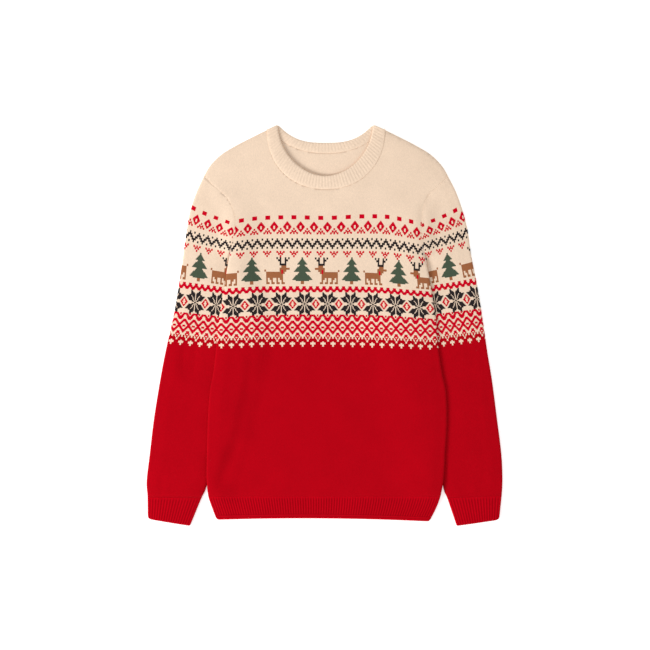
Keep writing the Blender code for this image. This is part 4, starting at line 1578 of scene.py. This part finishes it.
def light_and_camera():
    scene = bpy.context.scene
    world = bpy.data.worlds.new("studio")
    scene.world = world
    world.use_nodes = True
    feed(world.node_tree.nodes["Background"], {"Color": WHITE, "Strength": WORLD_LIGHT})
    lamp = bpy.data.lights.new("key", "AREA")
    lamp.shape = "DISK"
    lamp.size = KEY_SIZE
    lamp.energy = KEY_POWER
    key = in_scene("key", lamp)
    key.location = KEY_FROM
    key.rotation_euler = (-Vector(KEY_FROM)).to_track_quat("-Z", "Y").to_euler()
    lens = bpy.data.cameras.new("camera")
    lens.lens = CAMERA_LENS
    lens.sensor_width = CAMERA_SENSOR
    camera = in_scene("camera", lens)
    camera.location = (*CAMERA_OVER, CAMERA_HEIGHT)
    scene.camera = camera
    scene.view_settings.view_transform = "Standard"
    scene.view_settings.look = "None"


# ---------------- the sweater

BAND_CUT = 0.021          # width of the neckband
BAND_POINTS = 200         # its length is taken along this many points of the seam


def cut_of(outline):
    """Width, length and area of a flat piece, in metres."""
    width, length = np.ptp(outline, axis=0) * MM
    x, y = outline.T
    area = 0.5 * abs(np.dot(x, np.roll(y, 1)) - np.dot(y, np.roll(x, 1))) * MM * MM
    return (float(width), float(length)), float(area)


def length_of(line):
    """Length of a line of points, in metres."""
    return float(np.linalg.norm(np.diff(line, axis=0), axis=1).sum()) * MM


def body(patterned):
    under_back = ["right_sleeve_knit", "left_sleeve_knit", "floor"]
    panels = (
        (front_panel, "front_panel", FRONT_NECK_SEAM, ["back_knit"]),
        (back_panel, "back_panel", BACK_NECK_SEAM, under_back),
    )
    for panel, node_name, seam, under in panels:
        piece = panel()
        dress(piece, patterned, "patterned_knit", node_name)
        flat, area = cut_of(body_outline(seam))


def hems(ribbing, red_rib):
    for hem, node_name, under in (
        (front_hem, "front_hem_rib", "back_hem"),
        (back_hem, "back_hem_rib", "floor"),
    ):
        piece = worked(hem(), ribbing, Rib_Height=HEM_RIB_HEIGHT * MM, Material=red_rib)
        dress(piece, red_rib, "red_rib_knit", node_name)


def collar(half, plan, ribbing, cream_rib, linking, cream_thread):
    """The front or the back half of the neckband, and the stitches that link it on."""
    seam, edge, ribs, base_at, height = plan
    piece = neckband(half + "_collar", seam, edge, ribs, base_at)
    worked(piece, ribbing, Rib_Height=height * MM, Material=cream_rib)
    stitches = line_piece(half + "_collar_linking", neck_linking_line(seam, base_at))
    worked(stitches, linking, Material=cream_thread)
    dress(piece, cream_rib, "cream_rib_knit", half + "_neckband")
    dress(stitches, cream_thread, "cream_rib_knit")
    flat = (length_of(neck_curve(seam, BAND_POINTS)), BAND_CUT)


def whole_sleeve(side_name, patterned, linking, cream_thread):
    """A sleeve, and the stitches that link it to the body."""
    piece = sleeve(side_name)
    plan = SleevePlan(side_name)
    dress(piece, patterned, "patterned_knit", side_name + "_sleeve")
    stitches = line_piece(side_name + "_armhole_linking", armhole_linking_line(plan.side))
    worked(stitches, linking, Material=cream_thread)
    dress(stitches, cream_thread, "patterned_knit")
    wide = 2.0 * float(np.linalg.norm(plan.outer - plan.inner, axis=1).max()) * MM


def sweater():
    knit_stitch_group()
    wool_group()
    ribbing = rib_knit_tree()
    linking = linking_tree()
    # groove_shade and rib_shade set how much painted shade darkens the grooves
    patterned = knitted(
        "patterned knit", fleck=0.06, groove_shade=0.10, rib_shade=0.0, sheen=0.02, sheen_tint=CREAM_SHEEN
    )
    red_rib = knitted(
        "red rib knit", fleck=0.06, groove_shade=0.10, rib_shade=0.30, sheen=0.15, sheen_tint=RED_SHEEN
    )
    cream_rib = knitted(
        "cream rib knit", fleck=0.06, groove_shade=0.08, rib_shade=0.06, sheen=0.05, sheen_tint=CREAM_SHEEN
    )
    cream_thread = thread("cream linking yarn", CREAM)
    body(patterned)
    hems(ribbing, red_rib)
    front = (FRONT_NECK_SEAM, FRONT_NECK_EDGE, FRONT_BAND_RIBS, front_band_base, BAND_RIB_HEIGHT)
    back = (BACK_NECK_SEAM, BACK_NECK_EDGE, BACK_BAND_RIBS, back_band_base, BACK_BAND_RIB_HEIGHT)
    for half, plan in (("front", front), ("back", back)):
        collar(half, plan, ribbing, cream_rib, linking, cream_thread)
    for side_name in SIDES:
        whole_sleeve(side_name, patterned, linking, cream_thread)
        piece = worked(cuff(side_name), ribbing, Rib_Height=CUFF_RIB_HEIGHT * MM, Material=red_rib)
        dress(piece, red_rib, "red_rib_knit", side_name + "_cuff_rib")


sweater()
floor()
light_and_camera()
